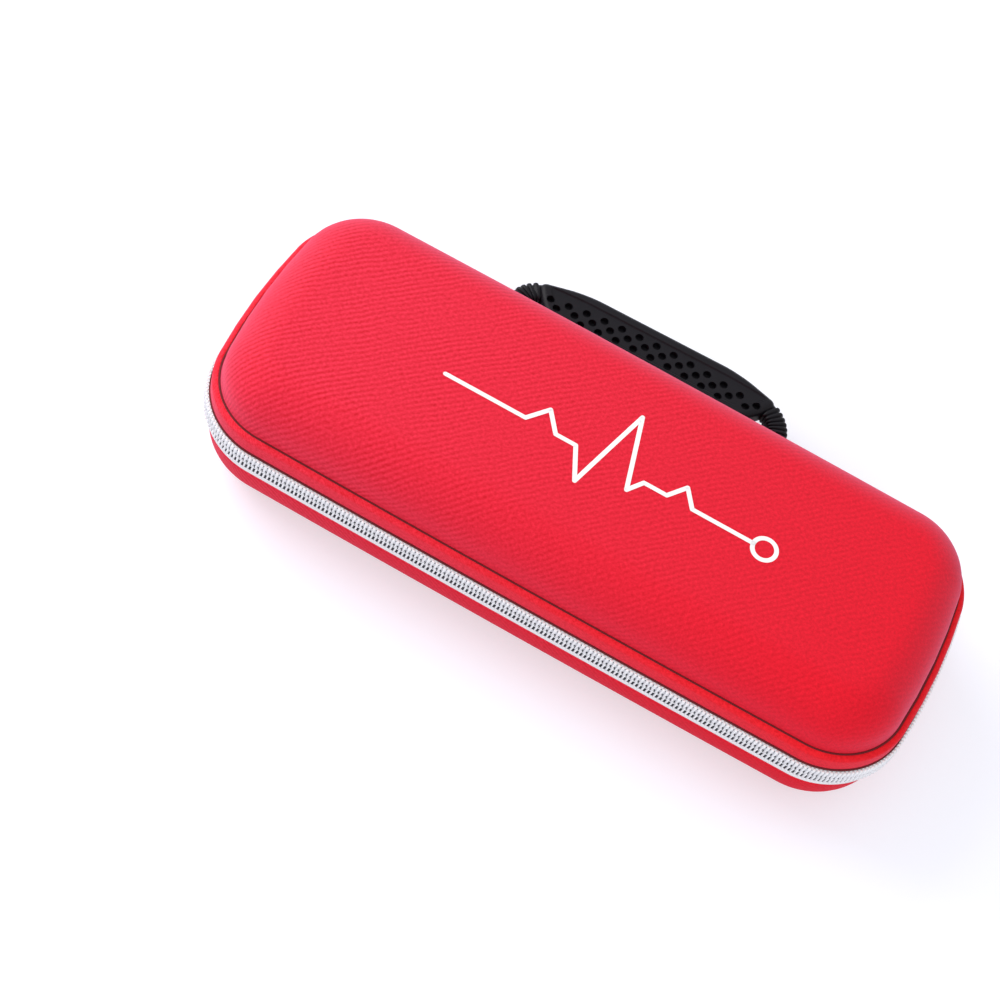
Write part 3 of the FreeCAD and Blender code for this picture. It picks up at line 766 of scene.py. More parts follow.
def lid_tape_points():
    inner = tape_inset + tape_thickness
    return [
        (tape_inset, zip_middle + chain_half_gap),
        (tape_inset, lid_open + tuck),
        (inner, lid_open + tuck),
        (inner, zip_middle + chain_half_gap),
    ]


def base_tape_points():
    """The base half's tape, which flares out over the base rim below the teeth."""
    inner = tape_inset + tape_thickness
    foot = base_open + tape_thickness / 4
    return [
        (inner, zip_middle - chain_half_gap),
        (tape_inset, zip_middle - chain_half_gap),
        (tape_inset, flare_high + tape_thickness, flare_upper_round, 3),
        (flare_inset, foot + tape_thickness * 3, flare_round, 4),
        (flare_inset + tape_thickness / 2, foot, flare_foot_round, 3),
        (inner, foot),
    ]


def narrow_at_slider(bm):
    """Draws the chain in where the slider runs, to leave the slider more room."""
    for vert in bm.verts:
        if vert.co.y > corner_y and vert.co.x > 0:
            share = min(1.0, max(0.0, (tail_end + narrow_ramp - vert.co.x) / narrow_ramp))
            vert.co.z = zip_middle + (vert.co.z - zip_middle) * (1 - (1 - narrow_share) * share)
            vert.co.y -= narrow_sink * share
    return bm


def cord_piece(name, part, sign, material):
    """The filler cord that lies inside one coil."""
    near = zip_middle + sign * chain_half_gap
    low, high = (near, cord_high) if sign > 0 else (cord_low, near)
    back = tape_inset - weld
    points = [(cord_inset, low), (cord_inset, high), (back, high), (back, low)]
    bm = narrow_at_slider(sweep(points, half_arcs(part, slider_x)))
    return hold(new_piece(name, bm, None, material), part)


def seam_shadow_piece(name, part, material):
    """Painted shadow: a dark strip between the lid's rim and the coil, where the rim's shade falls."""
    low, high = (zip_middle + height for height in seam_shadow)
    face = lid_rim_inset - seam_proud
    points = [(face, low), (face, high), (tape_inset, high), (tape_inset, low)]
    bm = sweep(points, half_arcs(part, tail_start, -tail_start))
    return hold(new_piece(name, bm, None, material), part)


def shade_piece(name, part, low, high, material):
    """Painted shade: a dark strip that shows between the teeth, where the gaps between the coil's legs lie in
    shade.
    """
    front = cord_inset - cord_proud
    points = [(front, zip_middle + low), (front, zip_middle + high),
              (cord_inset, zip_middle + high), (cord_inset, zip_middle + low)]
    bm = narrow_at_slider(sweep(points, half_arcs(part, slider_x)))
    return hold(new_piece(name, bm, None, material), part)


def teeth_piece(name, part, material, nodes, low, high, width, tip_width):
    """All coil legs of one zipper half, leaning together."""
    bm = capsule(width, tip_width, tooth_depth, high - low)
    bmesh.ops.rotate(bm, verts=bm.verts, cent=(0, 0, 0), matrix=Matrix.Rotation(tooth_lean, 3, "Y"))
    inset = tooth_face_inset + tooth_depth / 2
    legs = repeat_along(to_cell(bm), half_arcs(part, slider_x), tooth_pitch, inset, (low + high) / 2)
    return hold(new_piece(name, narrow_at_slider(legs), None, material, nodes), part)


def stitch_row_piece(name, part, material, z, inset):
    """The sewing stitches that hold a coil to its tape, one per tooth."""
    bm = capsule(stitch_radius * 2, stitch_radius * 2, stitch_radius * 2, tooth_pitch, 6, 5)
    bmesh.ops.rotate(bm, verts=bm.verts, cent=(0, 0, 0), matrix=Matrix.Rotation(stitch_lean, 3, "Y"))
    row = repeat_along(to_cell(bm), half_arcs(part, slider_x), tooth_pitch, inset, z)
    return hold(new_piece(name, narrow_at_slider(row), None, material), part)


def stops_piece(material):
    """The two end stops: one at the chain's start, and one between the hinge and the slider."""
    low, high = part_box("zipper_stops")
    bm = bmesh.new()
    for x in (low.x, high.x):
        inner = x - math.copysign(tooth_pitch, x)
        first = Vector((min(x, inner), low.y, low.z))
        last = Vector((max(x, inner), high.y, high.z))
        cell = to_cell(bar(first, last, stitch_radius))
        bm.from_mesh(cell)
    return new_piece("zipper_stop_pair", bm, "base", material, ["zipper_stops"])


# Handle

def rounded_plate(points, low, high):
    """An upright plate on a plan outline of (x, y, radius, segments)."""
    bm = bmesh.new()
    places = [(point[0], point[1], low) for point in points]
    draw_wire(bm, places, [point[2:] for point in points], closed=True)
    made = bmesh.ops.contextual_create(bm, geom=bm.edges[:])
    risen = bmesh.ops.extrude_face_region(bm, geom=made["faces"])
    verts = [item for item in risen["geom"] if isinstance(item, bmesh.types.BMVert)]
    bmesh.ops.translate(bm, vec=(0, 0, high - low), verts=verts)
    bmesh.ops.recalc_face_normals(bm, faces=bm.faces)
    return bm


def grip_points(shrink):
    """The grip's plan about its own middle, drawn in by shrink on every side."""
    half = Vector((neck_heading.y, -neck_heading.x, 0)) * (grip_end_half - shrink / 2)
    outer = neck_end + neck_heading * shrink + half
    inner = neck_end + neck_heading * shrink - half
    end_round = max(grip_end_round - shrink, grip_end_round / 3)
    right = [
        (grip_inner_half - shrink / 3, grip_inner + shrink, grip_inner_round, 8),
        (inner.x, inner.y, end_round, 4),
        (outer.x, outer.y, end_round, 6),
        (grip_flat_half - shrink / 3, grip_outer - shrink, grip_outer_round - shrink, 14),
    ]
    return right + [(-x, y, radius, segments) for x, y, radius, segments in right[::-1]]


def lie_askew():
    """The soft handle lies a little askew: where the grip's own frame goes."""
    turn = Matrix.Rotation(grip_skew, 4, "Z")
    return (Matrix.Translation(Vector((handle_middle + grip_shift, 0, 0)) + grip_middle) @ turn
            @ Matrix.Translation(-grip_middle))


def recess_cell(side, half):
    """The shallow field inside the grip's border, with sloping sides, as a cutting shape."""
    floor = handle_height + side * (half - grip_recess)
    mouth = handle_height + side * (half + grip_recess)
    bm = rounded_plate(grip_points(grip_border), min(floor, mouth), max(floor, mouth))
    sunk = [vert for vert in bm.verts if abs(vert.co.z - floor) < weld]
    bmesh.ops.scale(bm, vec=(1 - grip_slope_x, 1 - grip_slope_y, 1), space=Matrix.Translation(-grip_middle),
                    verts=sunk)
    return to_cell(bm)


def grip_piece(material):
    half = (grip_high.z - grip_low.z) / 2
    bm = rounded_plate(grip_points(0), handle_height - half, handle_height + half)
    rims = [edge for edge in bm.edges
            if len(edge.link_faces) == 2 and abs(edge.verts[0].co.z - edge.verts[1].co.z) < weld]
    bmesh.ops.bevel(bm, geom=rims, offset=grip_edge_round, offset_type="OFFSET", segments=5, profile=0.5,
                    affect="EDGES", material=-1)
    grip = new_piece("handle_grip_body", bm, None, material, ["handle_grip"])
    fields = bmesh.new()
    for side in (-1, 1):
        fields.from_mesh(recess_cell(side, half))
    bite(grip, new_piece("grip_fields", fields))

    pits = bmesh.new()
    widest = dimple_half_counts[0] * dimple_pitch
    for row, half_count in enumerate(dimple_half_counts):
        shift = dimple_pitch / 2 if row % 2 else 0
        row_y = grip_outer - dimple_first_row - row * dimple_row_step
        for i in range(-half_count, half_count + 1 - row % 2):
            x = i * dimple_pitch + shift
            y = row_y - dimple_row_bow * (x / widest) ** 2
            for side in (-1, 1):
                made = bmesh.ops.create_cone(pits, cap_ends=True, segments=20, radius1=dimple_radius,
                                             radius2=dimple_radius, depth=dimple_depth * 2)
                bmesh.ops.translate(pits, vec=(x, y, handle_height + side * (half - grip_recess)),
                                    verts=made["verts"])
    bite(grip, new_piece("grip_dimples", pits))
    grip.data.transform(lie_askew())
    mark_sharp(grip.data, 40)
    even = grip.modifiers.new("even shading", "WEIGHTED_NORMAL")
    even.keep_sharp = True
    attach(grip, "handle")
    return grip


def bite(piece, tool):
    """Cuts tool out of piece, and removes the tool."""
    cut = piece.modifiers.new("bite", "BOOLEAN")
    cut.object = tool
    cut.solver = "EXACT"
    bpy.context.view_layer.update()
    dug = bpy.data.meshes.new_from_object(piece.evaluated_get(bpy.context.evaluated_depsgraph_get()))
    piece.modifiers.clear()
    bpy.data.objects.remove(tool)
    piece.data = dug


def mark_sharp(mesh, degrees):
    bm = bmesh.new()
    bm.from_mesh(mesh)
    for face in bm.faces:
        face.smooth = True
    for edge in bm.edges:
        if len(edge.link_faces) == 2:
            edge.smooth = edge.calc_face_angle(0) < math.radians(degrees)
    bm.to_mesh(mesh)
    bm.free()


def neck_line(side, share):
    """Place and direction on the neck's middle line, from its foot at 0 to the grip at 1."""
    start = Vector((handle_middle + side * foot_half_spacing, foot_face, handle_height))
    end = neck_end.copy()
    heading = neck_heading.copy()
    if side < 0:
        end.x, heading.x = -end.x, -heading.x
    askew = lie_askew()
    end = askew @ end
    end.z = handle_height
    heading = askew.to_3x3() @ heading
    first = start + Vector((0, neck_reach * neck_start_share, 0))
    second = end - heading * neck_reach
    back = 1 - share
    place = (start * back ** 3 + first * 3 * share * back ** 2 + second * 3 * share ** 2 * back
             + end * share ** 3)
    ahead = ((first - start) * back ** 2 + (second - first) * 2 * share * back + (end - second) * share ** 2)
    return place, ahead.normalized()


def neck_ring(bm, side, share, scale):
    """One rounded-square ring of the neck."""
    place, ahead = neck_line(side, share)
    made = bmesh.ops.create_circle(bm, cap_ends=False, segments=24, radius=1)
    across = Vector((ahead.y, -ahead.x, 0))
    for vert in made["verts"]:
        wide = math.copysign(abs(vert.co.x) ** neck_corner_power, vert.co.x) * neck_width / 2 * scale
        tall = math.copysign(abs(vert.co.y) ** neck_corner_power, vert.co.y) * neck_thickness / 2 * scale
        vert.co = place + across * wide + Vector((0, 0, tall))
    return list({edge for vert in made["verts"] for edge in vert.link_edges})


def neck_piece(name, side, node, material):
    """A ribbed rubber neck that bends between its foot and the grip."""
    bm = bmesh.new()
    places = [neck_line(side, i / rib_samples)[0] for i in range(rib_samples + 1)]
    length = sum((after - before).length for before, after in zip(places, places[1:]))
    count = int(length / rib_pitch)
    rings = []
    for i in range(count):
        for place_share, scale in rib_shares:
            rings.append(neck_ring(bm, side, (i + place_share) / count, scale))
    rings.append(neck_ring(bm, side, 1.0, neck_groove))
    rings.append(neck_ring(bm, side, 1 + rib_shares[1][0] / count * 3, neck_groove))
    for near, far in zip(rings, rings[1:]):
        bmesh.ops.bridge_loops(bm, edges=near + far)
    bmesh.ops.holes_fill(bm, edges=[edge for edge in bm.edges if edge.is_boundary], sides=0)
    bmesh.ops.recalc_face_normals(bm, faces=bm.faces)
    piece = new_piece(name, bm, None, material, [node], sharp=60)
    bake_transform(piece)
    return piece


# Back of the case

def hinge_piece(material):
    """The fabric strip that hinges the lid, with a soft fold line along its middle."""
    low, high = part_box("hinge_strip")
    face = half_width - high.y
    back = half_width - low.y
    fold = face + facing_thickness
    points = [
        (face, low.z),
        (face, zip_middle - hinge_fold_half, hinge_fold_round, 3),
        (fold, zip_middle, hinge_fold_round, 3),
        (face, zip_middle + hinge_fold_half, hinge_fold_round, 3),
        (face, high.z),
        (back, high.z),
        (back, low.z),
    ]
    arcs = arcs_between(back_run(hinge_half_length), back_run(-hinge_half_length))
    bm = sweep(points, arcs)
    piece = new_piece("hinge_cloth", bm, None, material, ["hinge_strip"])
    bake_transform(piece)
    return piece


# Inside

def binding_piece(name, body, node, material, wall_inset, open_z, far_z):
    """Bias tape folded over a pan's inner edge; open_z is its fold and far_z the end of its leg."""
    inner = wall_inset + lining_inset + binding_thickness + math.tan(draft) * abs(far_z - open_z) / 9
    lean = math.tan(draft) * abs(far_z - open_z)
    side = math.copysign(binding_thickness, far_z - open_z)
    points = [
        (binding_outer, open_z + side * 2),
        (binding_outer, open_z, binding_round, 4),
        (inner, open_z, binding_round * 1.6, 4),
        (inner + lean, far_z, binding_round / 2, 2),
        (inner + lean - binding_thickness * 1.2, far_z),
        (inner - binding_thickness * 1.2, open_z + side * 2),
    ]
    bm = sweep(points, whole_loop)
    return new_piece(name, bm, body, material, [node])


def net_piece(material):
    """Diamond mesh of the lid pocket, cut to the lid and held under its edging."""
    bm = bmesh.new()
    middle = (net_low + net_high) / 2
    across = int((net_high.x - net_low.x) / net_cell)
    down = int((net_high.y - net_low.y) / net_cell)
    bmesh.ops.create_grid(bm, x_segments=across, y_segments=down, size=0.5)
    bmesh.ops.scale(bm, vec=(net_high.x - net_low.x, net_high.y - net_low.y, 1), verts=bm.verts)
    bmesh.ops.translate(bm, vec=middle, verts=bm.verts)
    bmesh.ops.poke(bm, faces=bm.faces[:])
    straight = [edge for edge in bm.edges if abs(edge.verts[0].co.x - edge.verts[1].co.x) < weld
                or abs(edge.verts[0].co.y - edge.verts[1].co.y) < weld]
    bmesh.ops.dissolve_edges(bm, edges=[edge for edge in straight if not edge.is_boundary], use_verts=False)
    inset_line = half_width - edging_high.y + edging_width / 3
    outside = [vert for vert in bm.verts if locate(vert.co.x, vert.co.y)[2] < inset_line]
    bmesh.ops.delete(bm, geom=outside, context="VERTS")
    lay_plan_uv(bm)
    piece = new_piece("lid_pocket_mesh", bm, "lid", material, ["lid_pocket_net"])
    threads = piece.modifiers.new("threads", "WIREFRAME")
    threads.thickness = net_thread
    threads.use_even_offset = False
    return piece


def hem_piece(material):
    bm = bar(hem_low, hem_high, (hem_high.z - hem_low.z) / 3)
    return new_piece("lid_pocket_elastic", bm, "lid", material, ["lid_pocket_hem"])


def edging_piece(material):
    """The band that holds the pocket's net along the lid's back and ends."""
    inset = half_width - edging_high.y
    first = run_where(edging_low.y, inset)
    far = inset + edging_width
    low, high = edging_low.z, edging_high.z
    points = [(inset, low, binding_round / 2, 2), (inset, high, binding_round / 2, 2),
              (far, high, binding_round / 2, 2), (far, low, binding_round / 2, 2)]
    bm = sweep(points, arcs_between(-first, first))
    return new_piece("lid_pocket_band", bm, "lid", material, ["lid_pocket_edging"])


def run_where(y, inset):
    """Run at which the outline, drawn in by inset, reaches y at the case's front left corner."""
    reach = corner_radius - inset
    angle = math.pi + math.asin((abs(y) - corner_y) / reach)
    arc = whole_loop[3]
    return arc.start + (angle - arc.first) * arc.radius


def strap_piece(name, node, material):
    low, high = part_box(node)
    bm = bar(low, high, (high.z - low.z) / 3)
    long_edges = [edge for edge in bm.edges if edge.calc_length() > strap_long_edge]
    bmesh.ops.subdivide_edges(bm, edges=long_edges, cuts=strap_cuts, use_grid_fill=True)
    middle = (low.y + high.y) / 2
    reach = (high.y - low.y) / 2
    for vert in bm.verts:
        lift = max(0.0, 1 - ((vert.co.y - middle) / reach * strap_lift_share) ** 2)
        vert.co.z += strap_lift * lift
    return new_piece(name, bm, "base", material, [node])


def patches_piece(material):
    """The sewn ends of the straps."""
    low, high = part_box("strap_patches")
    bm = bmesh.new()
    for side in (-1, 1):
        for end in (-1, 1):
            middle_x = side * (high.x - patch_length / 2)
            y = high.y if end > 0 else low.y + patch_width
            first = Vector((middle_x - patch_length / 2, y - patch_width, low.z))
            last = Vector((middle_x + patch_length / 2, y, high.z))
            bm.from_mesh(to_cell(bar(first, last, (high.z - low.z) / 3)))
    return new_piece("strap_end_patches", bm, "base", material, ["strap_patches"])


# Print on the lid

def print_piece(material):
    """A plain pulse line with a ring at its end, printed on the lid."""
    bm = bmesh.new()
    for start, end in zip(print_line, print_line[1:]):
        add_stroke(bm, Vector((*start, 0)), Vector((*end, 0)))
    for place in print_line:
        made = bmesh.ops.create_circle(bm, cap_ends=True, segments=16, radius=print_width / 2)
        bmesh.ops.translate(bm, vec=(*place, 0), verts=made["verts"])
    ring = bmesh.ops.create_circle(bm, cap_ends=True, segments=ring_steps, radius=print_ring)
    last_x, last_y = print_line[-1]
    bmesh.ops.translate(bm, vec=(last_x + print_ring - print_width / 2, last_y, 0), verts=ring["verts"])
    disc = [face for face in bm.faces if len(face.verts) == ring_steps]
    bmesh.ops.inset_region(bm, faces=disc, thickness=print_width, depth=0, use_boundary=True,
                           use_even_offset=True)
    bmesh.ops.delete(bm, geom=disc, context="FACES")
    for vert in bm.verts:
        vert.co.z = lid_top + crown_at(vert.co.x, vert.co.y) + print_lift
    for face in bm.faces:
        if face.normal.z < 0:
            face.normal_flip()
    return new_piece("lid_print", bm, "lid", material)


def add_stroke(bm, start, end):
    """One straight stroke of the print, cut short enough to follow the crown."""
    length = (end - start).length
    along = (end - start).normalized()
    across = Vector((-along.y, along.x, 0))
    made = bmesh.ops.create_grid(bm, x_segments=max(1, int(length / print_step)), y_segments=1, size=0.5)
    for vert in made["verts"]:
        vert.co = start + along * (vert.co.x + 0.5) * length + across * vert.co.y * print_width


# Materials

def socket(group, name, kind, direction, value=None):
    made = group.interface.new_socket(name=name, in_out=direction, socket_type=kind)
    if value is not None:
        made.default_value = value
    return made


class Sheet:
    """A node tree with short calls to add and join nodes."""

    def __init__(self, tree):
        self.tree = tree

    def add(self, kind, **settings):
        node = self.tree.nodes.new(kind)
        for key, value in settings.items():
            setattr(node, key, value)
        return node

    def join(self, source, target):
        self.tree.links.new(source, target)

    def math(self, operation, *values, clamp=False):
        node = self.add("ShaderNodeMath", operation=operation, use_clamp=clamp)
        for slot_index, value in enumerate(values):
            if isinstance(value, (int, float)):
                node.inputs[slot_index].default_value = value
            else:
                self.join(value, node.inputs[slot_index])
        return node.outputs[0]

    def mix(self, factor, low, high):
        node = self.add("ShaderNodeMix", data_type="RGBA", clamp_factor=True)
        for slot_index, value in ((0, factor), (6, low), (7, high)):
            if isinstance(value, (int, float)):
                node.inputs[slot_index].default_value = value
            elif isinstance(value, tuple):
                node.inputs[slot_index].default_value = (*value, 1)
            else:
                self.join(value, node.inputs[slot_index])
        return node.outputs[2]

    def noise(self, vector, scale, detail=2.0, roughness=0.5):
        node = self.add("ShaderNodeTexNoise")
        node.inputs["Scale"].default_value = scale
        node.inputs["Detail"].default_value = detail
        node.inputs["Roughness"].default_value = roughness
        self.join(vector, node.inputs["Vector"])
        return node.outputs[0]

    def wave(self, place, per_metre, turn=full_turn):
        """A sine over a place; with half a turn it has half as many cycles per metre."""
        return self.math("SINE", self.math("MULTIPLY", self.math("MULTIPLY", place, per_metre), turn))


def twill_group():
    """Twill weave on a cloth's own map in metres: faint wales, fine threads and a soft unevenness."""
    group = bpy.data.node_groups.new("twill weave", "ShaderNodeTree")
    socket(group, "Cloth", "NodeSocketVector", "INPUT")
    socket(group, "Wales per metre", "NodeSocketFloat", "INPUT", 520.0)
    socket(group, "Threads per metre", "NodeSocketFloat", "INPUT", 1900.0)
    socket(group, "Angle", "NodeSocketFloat", "INPUT", math.radians(-45))
    socket(group, "Height", "NodeSocketFloat", "OUTPUT")
    socket(group, "Wale", "NodeSocketFloat", "OUTPUT")
    socket(group, "Uneven", "NodeSocketFloat", "OUTPUT")
    sheet = Sheet(group)
    inside = sheet.add("NodeGroupInput")
    outside = sheet.add("NodeGroupOutput")
    turned = sheet.add("ShaderNodeVectorRotate", rotation_type="Z_AXIS")
    sheet.join(inside.outputs["Cloth"], turned.inputs["Vector"])
    sheet.join(inside.outputs["Angle"], turned.inputs["Angle"])
    parts = sheet.add("ShaderNodeSeparateXYZ")
    sheet.join(turned.outputs[0], parts.inputs[0])
    waver = sheet.noise(turned.outputs[0], 60.0, 3.0)
    wander = sheet.math("MULTIPLY", sheet.math("SUBTRACT", waver, 0.5), 9.0)
    cycles = sheet.math("MULTIPLY", parts.outputs["Y"], inside.outputs["Wales per metre"])
    wave = sheet.math("SINE", sheet.math("ADD", sheet.math("MULTIPLY", cycles, 2 * math.pi), wander))
    blots = sheet.noise(inside.outputs["Cloth"], 38.0, 2.0)
    patches = sheet.math("MULTIPLY_ADD", blots, 2.4, -0.45, clamp=True)
    wale = sheet.math("MULTIPLY_ADD", sheet.math("MULTIPLY", wave, patches), 0.5, 0.5)
    fine = inside.outputs["Threads per metre"]
    along = sheet.wave(parts.outputs["X"], fine)
    across = sheet.wave(parts.outputs["Y"], fine)
    threads = sheet.math("MULTIPLY", along, across)
    grain = sheet.noise(inside.outputs["Cloth"], 1000.0, 3.0, 0.7)
    height = sheet.math("MULTIPLY_ADD", wale, 0.35, sheet.math("MULTIPLY", threads, 0.25))
    sheet.join(sheet.math("MULTIPLY_ADD", grain, 0.7, height), outside.inputs["Height"])
    sheet.join(wale, outside.inputs["Wale"])
    specks = sheet.noise(inside.outputs["Cloth"], 820.0, 4.0, 0.8)
    sheet.join(sheet.math("MULTIPLY_ADD", specks, 3.4, -1.2, clamp=True), outside.inputs["Uneven"])
    return group


def ribs_group():
    """Fine ribs across a band's run, with a slight waver."""
    group = bpy.data.node_groups.new("band ribs", "ShaderNodeTree")
    socket(group, "Cloth", "NodeSocketVector", "INPUT")
    socket(group, "Ribs per metre", "NodeSocketFloat", "INPUT", 1500.0)
    socket(group, "Height", "NodeSocketFloat", "OUTPUT")
    socket(group, "Uneven", "NodeSocketFloat", "OUTPUT")
    sheet = Sheet(group)
    inside = sheet.add("NodeGroupInput")
    outside = sheet.add("NodeGroupOutput")
    parts = sheet.add("ShaderNodeSeparateXYZ")
    sheet.join(inside.outputs["Cloth"], parts.inputs[0])
    per_metre = inside.outputs["Ribs per metre"]
    rib = sheet.wave(parts.outputs["X"], per_metre)
    cross = sheet.wave(parts.outputs["Y"], per_metre, full_turn / 2)
    uneven = sheet.noise(inside.outputs["Cloth"], 700.0, 3.0, 0.6)
    height = sheet.math("MULTIPLY_ADD", rib, 0.5, sheet.math("MULTIPLY_ADD", cross, 0.2, uneven))
    sheet.join(height, outside.inputs["Height"])
    sheet.join(uneven, outside.inputs["Uneven"])
    return group


def place_group(sheet, group, cloth, **values):
    node = sheet.add("ShaderNodeGroup", node_tree=group)
    sheet.join(cloth, node.inputs["Cloth"])
    for name, value in values.items():
        node.inputs[name.replace("_", " ")].default_value = value
    return node


def new_material(name, roughness, **plain):
    """A material whose Principled shader holds its constant values itself."""
    material = bpy.data.materials.new(name)
    material.use_nodes = True
    shader = material.node_tree.nodes["Principled BSDF"]
    shader.inputs["Roughness"].default_value = roughness
    for key, value in plain.items():
        shader.inputs[key.replace("_", " ")].default_value = value
    return material, Sheet(material.node_tree), shader


def bump(sheet, shader, height, distance, strength=1.0):
    node = sheet.add("ShaderNodeBump")
    node.inputs["Distance"].default_value = distance
    node.inputs["Strength"].default_value = strength
    sheet.join(height, node.inputs["Height"])
    sheet.join(node.outputs[0], shader.inputs["Normal"])


def red_cloth(name, twill, uv_name, bright, deep, wales, wale_share, sheen):
    """The red twill that covers the case. Towards the left end it turns pinker and its wales stand out
    more, which copies the photograph's light and isn't the cloth's own colour."""
    material, sheet, shader = new_material(name, 0.72, Sheen_Weight=sheen, Sheen_Roughness=0.5,
                                           Specular_IOR_Level=0.12)
    shader.inputs["Sheen Tint"].default_value = sheen_tint
    cloth = sheet.add("ShaderNodeUVMap", uv_map=uv_name).outputs[0]
    weave = place_group(sheet, twill, cloth, Wales_per_metre=wales)
    parts = sheet.add("ShaderNodeSeparateXYZ")
    sheet.join(sheet.add("ShaderNodeTexCoord").outputs["Object"], parts.inputs[0])
    # Painted light: towards the left a painted pink sheen is mixed into the bright colour, and the wales get
    # more contrast as if under raking light
    leftness = sheet.math("MULTIPLY_ADD", parts.outputs["X"], left_rise, left_middle, clamp=True)
    clearness = sheet.math("MULTIPLY_ADD", leftness, clear_rise, clear_right)
    wale = sheet.math("MULTIPLY", sheet.math("SUBTRACT", weave.outputs["Wale"], 0.5), clearness)
    shade = sheet.math("MULTIPLY_ADD", sheet.math("ADD", wale, 0.5), wale_share,
                       sheet.math("MULTIPLY", weave.outputs["Uneven"], 1 - wale_share))
    painted_sheen = sheet.math("MULTIPLY", leftness, painted_sheen_share)
    lit = sheet.mix(painted_sheen, bright, painted_sheen_pink)
    sheet.join(sheet.mix(shade, deep, lit), shader.inputs["Base Color"])
    bump(sheet, shader, weave.outputs["Height"], twill_depth, 0.5)
    return material


def ribbed_cloth(name, ribs, bright, deep, per_metre, depth, uv_name="run", roughness=0.8, sheen=0.1,
                 gloss=0.3):
    """A woven or knitted cloth: a band on a map of its own run, or a lining on its unmoulded plan."""
    material, sheet, shader = new_material(name, roughness, Sheen_Weight=sheen, Specular_IOR_Level=gloss)
    cloth = sheet.add("ShaderNodeUVMap", uv_map=uv_name).outputs[0]
    weave = place_group(sheet, ribs, cloth, Ribs_per_metre=per_metre)
    sheet.join(sheet.mix(weave.outputs["Uneven"], deep, bright), shader.inputs["Base Color"])
    bump(sheet, shader, weave.outputs["Height"], depth, 0.6)
    return material


def grained(name, bright, deep, roughness, grain_scale, depth, spread=0.08, **plain):
    """Moulded or cast stuff: a fine grain, with a slightly uneven colour and gloss."""
    material, sheet, shader = new_material(name, roughness, **plain)
    place = sheet.add("ShaderNodeTexCoord").outputs["Object"]
    cloud = sheet.noise(place, grain_scale / 12, 3.0)
    grain = sheet.noise(place, grain_scale, 2.0)
    sheet.join(sheet.mix(cloud, deep, bright), shader.inputs["Base Color"])
    rough = sheet.math("MULTIPLY_ADD", cloud, spread * 2, roughness - spread)
    sheet.join(rough, shader.inputs["Roughness"])
    bump(sheet, shader, grain, depth, 0.5)
    return material


def dress_node(node_name, material):
    """Gives a CAD node that stays in view its material."""
    node = bpy.data.objects[node_name]
    for slot in node.material_slots:
        slot.link = "OBJECT"
        slot.material = material


# Studio

def make_camera():
    """The photograph's viewpoint."""
    spin = Vector(camera_turn)
    to_view = Matrix.Rotation(spin.length, 3, spin.normalized())
    right, down, ahead = to_view[0], to_view[1], to_view[2]
    data = bpy.data.cameras.new("camera")
    data.sensor_width = sensor_width
    data.lens = camera_focal / photo_width * sensor_width
    data.clip_end = camera_far
    camera = bpy.data.objects.new("camera", data)
    pose = Matrix((right, -down, -ahead)).transposed().to_4x4()
    pose.translation = Vector(camera_place)
    camera.matrix_world = pose
    bpy.context.scene.collection.objects.link(camera)
    bpy.context.scene.camera = camera


def area_light(name, place, target, size, power, colour):
    data = bpy.data.lights.new(name, "AREA")
    data.shape = "RECTANGLE"
    data.size = size[0]
    data.size_y = size[1]
    data.energy = power
    data.color = colour
    lamp = bpy.data.objects.new(name, data)
    lamp.location = place
    lamp.rotation_euler = (Vector(target) - Vector(place)).to_track_quat("-Z", "Y").to_euler()
    bpy.context.scene.collection.objects.link(lamp)


def seen_directly(sheet):
    """1 where the camera, a reflection or a transmission looks straight at the surface."""
    path = sheet.add("ShaderNodeLightPath")
    both = sheet.math("MAXIMUM", path.outputs["Is Camera Ray"], path.outputs["Is Glossy Ray"])
    return sheet.math("MAXIMUM", both, path.outputs["Is Transmission Ray"])


def make_studio():
    world = bpy.data.worlds.new("studio")
    bpy.context.scene.world = world
    world.use_nodes = True
    sheet = Sheet(world.node_tree)
    background = world.node_tree.nodes["Background"]
    background.inputs["Color"].default_value = (1, 1, 1, 1)
    strength = sheet.math("MULTIPLY_ADD", seen_directly(sheet), 1 - world_light, world_light)
    sheet.join(strength, background.inputs["Strength"])

    bm = bmesh.new()
    bmesh.ops.create_grid(bm, x_segments=1, y_segments=1, size=floor_size)
    bmesh.ops.translate(bm, verts=bm.verts, vec=(0, 0, -floor_drop))
    floor = new_piece("floor", bm)
    material, sheet, shader = new_material("pale floor", 0.4, Specular_IOR_Level=0.3)
    shader.inputs["Base Color"].default_value = floor_colour
    shader.inputs["Emission Color"].default_value = (1, 1, 1, 1)
    sheet.join(sheet.math("MULTIPLY", seen_directly(sheet), floor_glow), shader.inputs["Emission Strength"])
    floor.data.materials.append(material)

    for lamp in studio_lamps:
        area_light(*lamp)
    bpy.context.scene.view_settings.view_transform = "Standard"


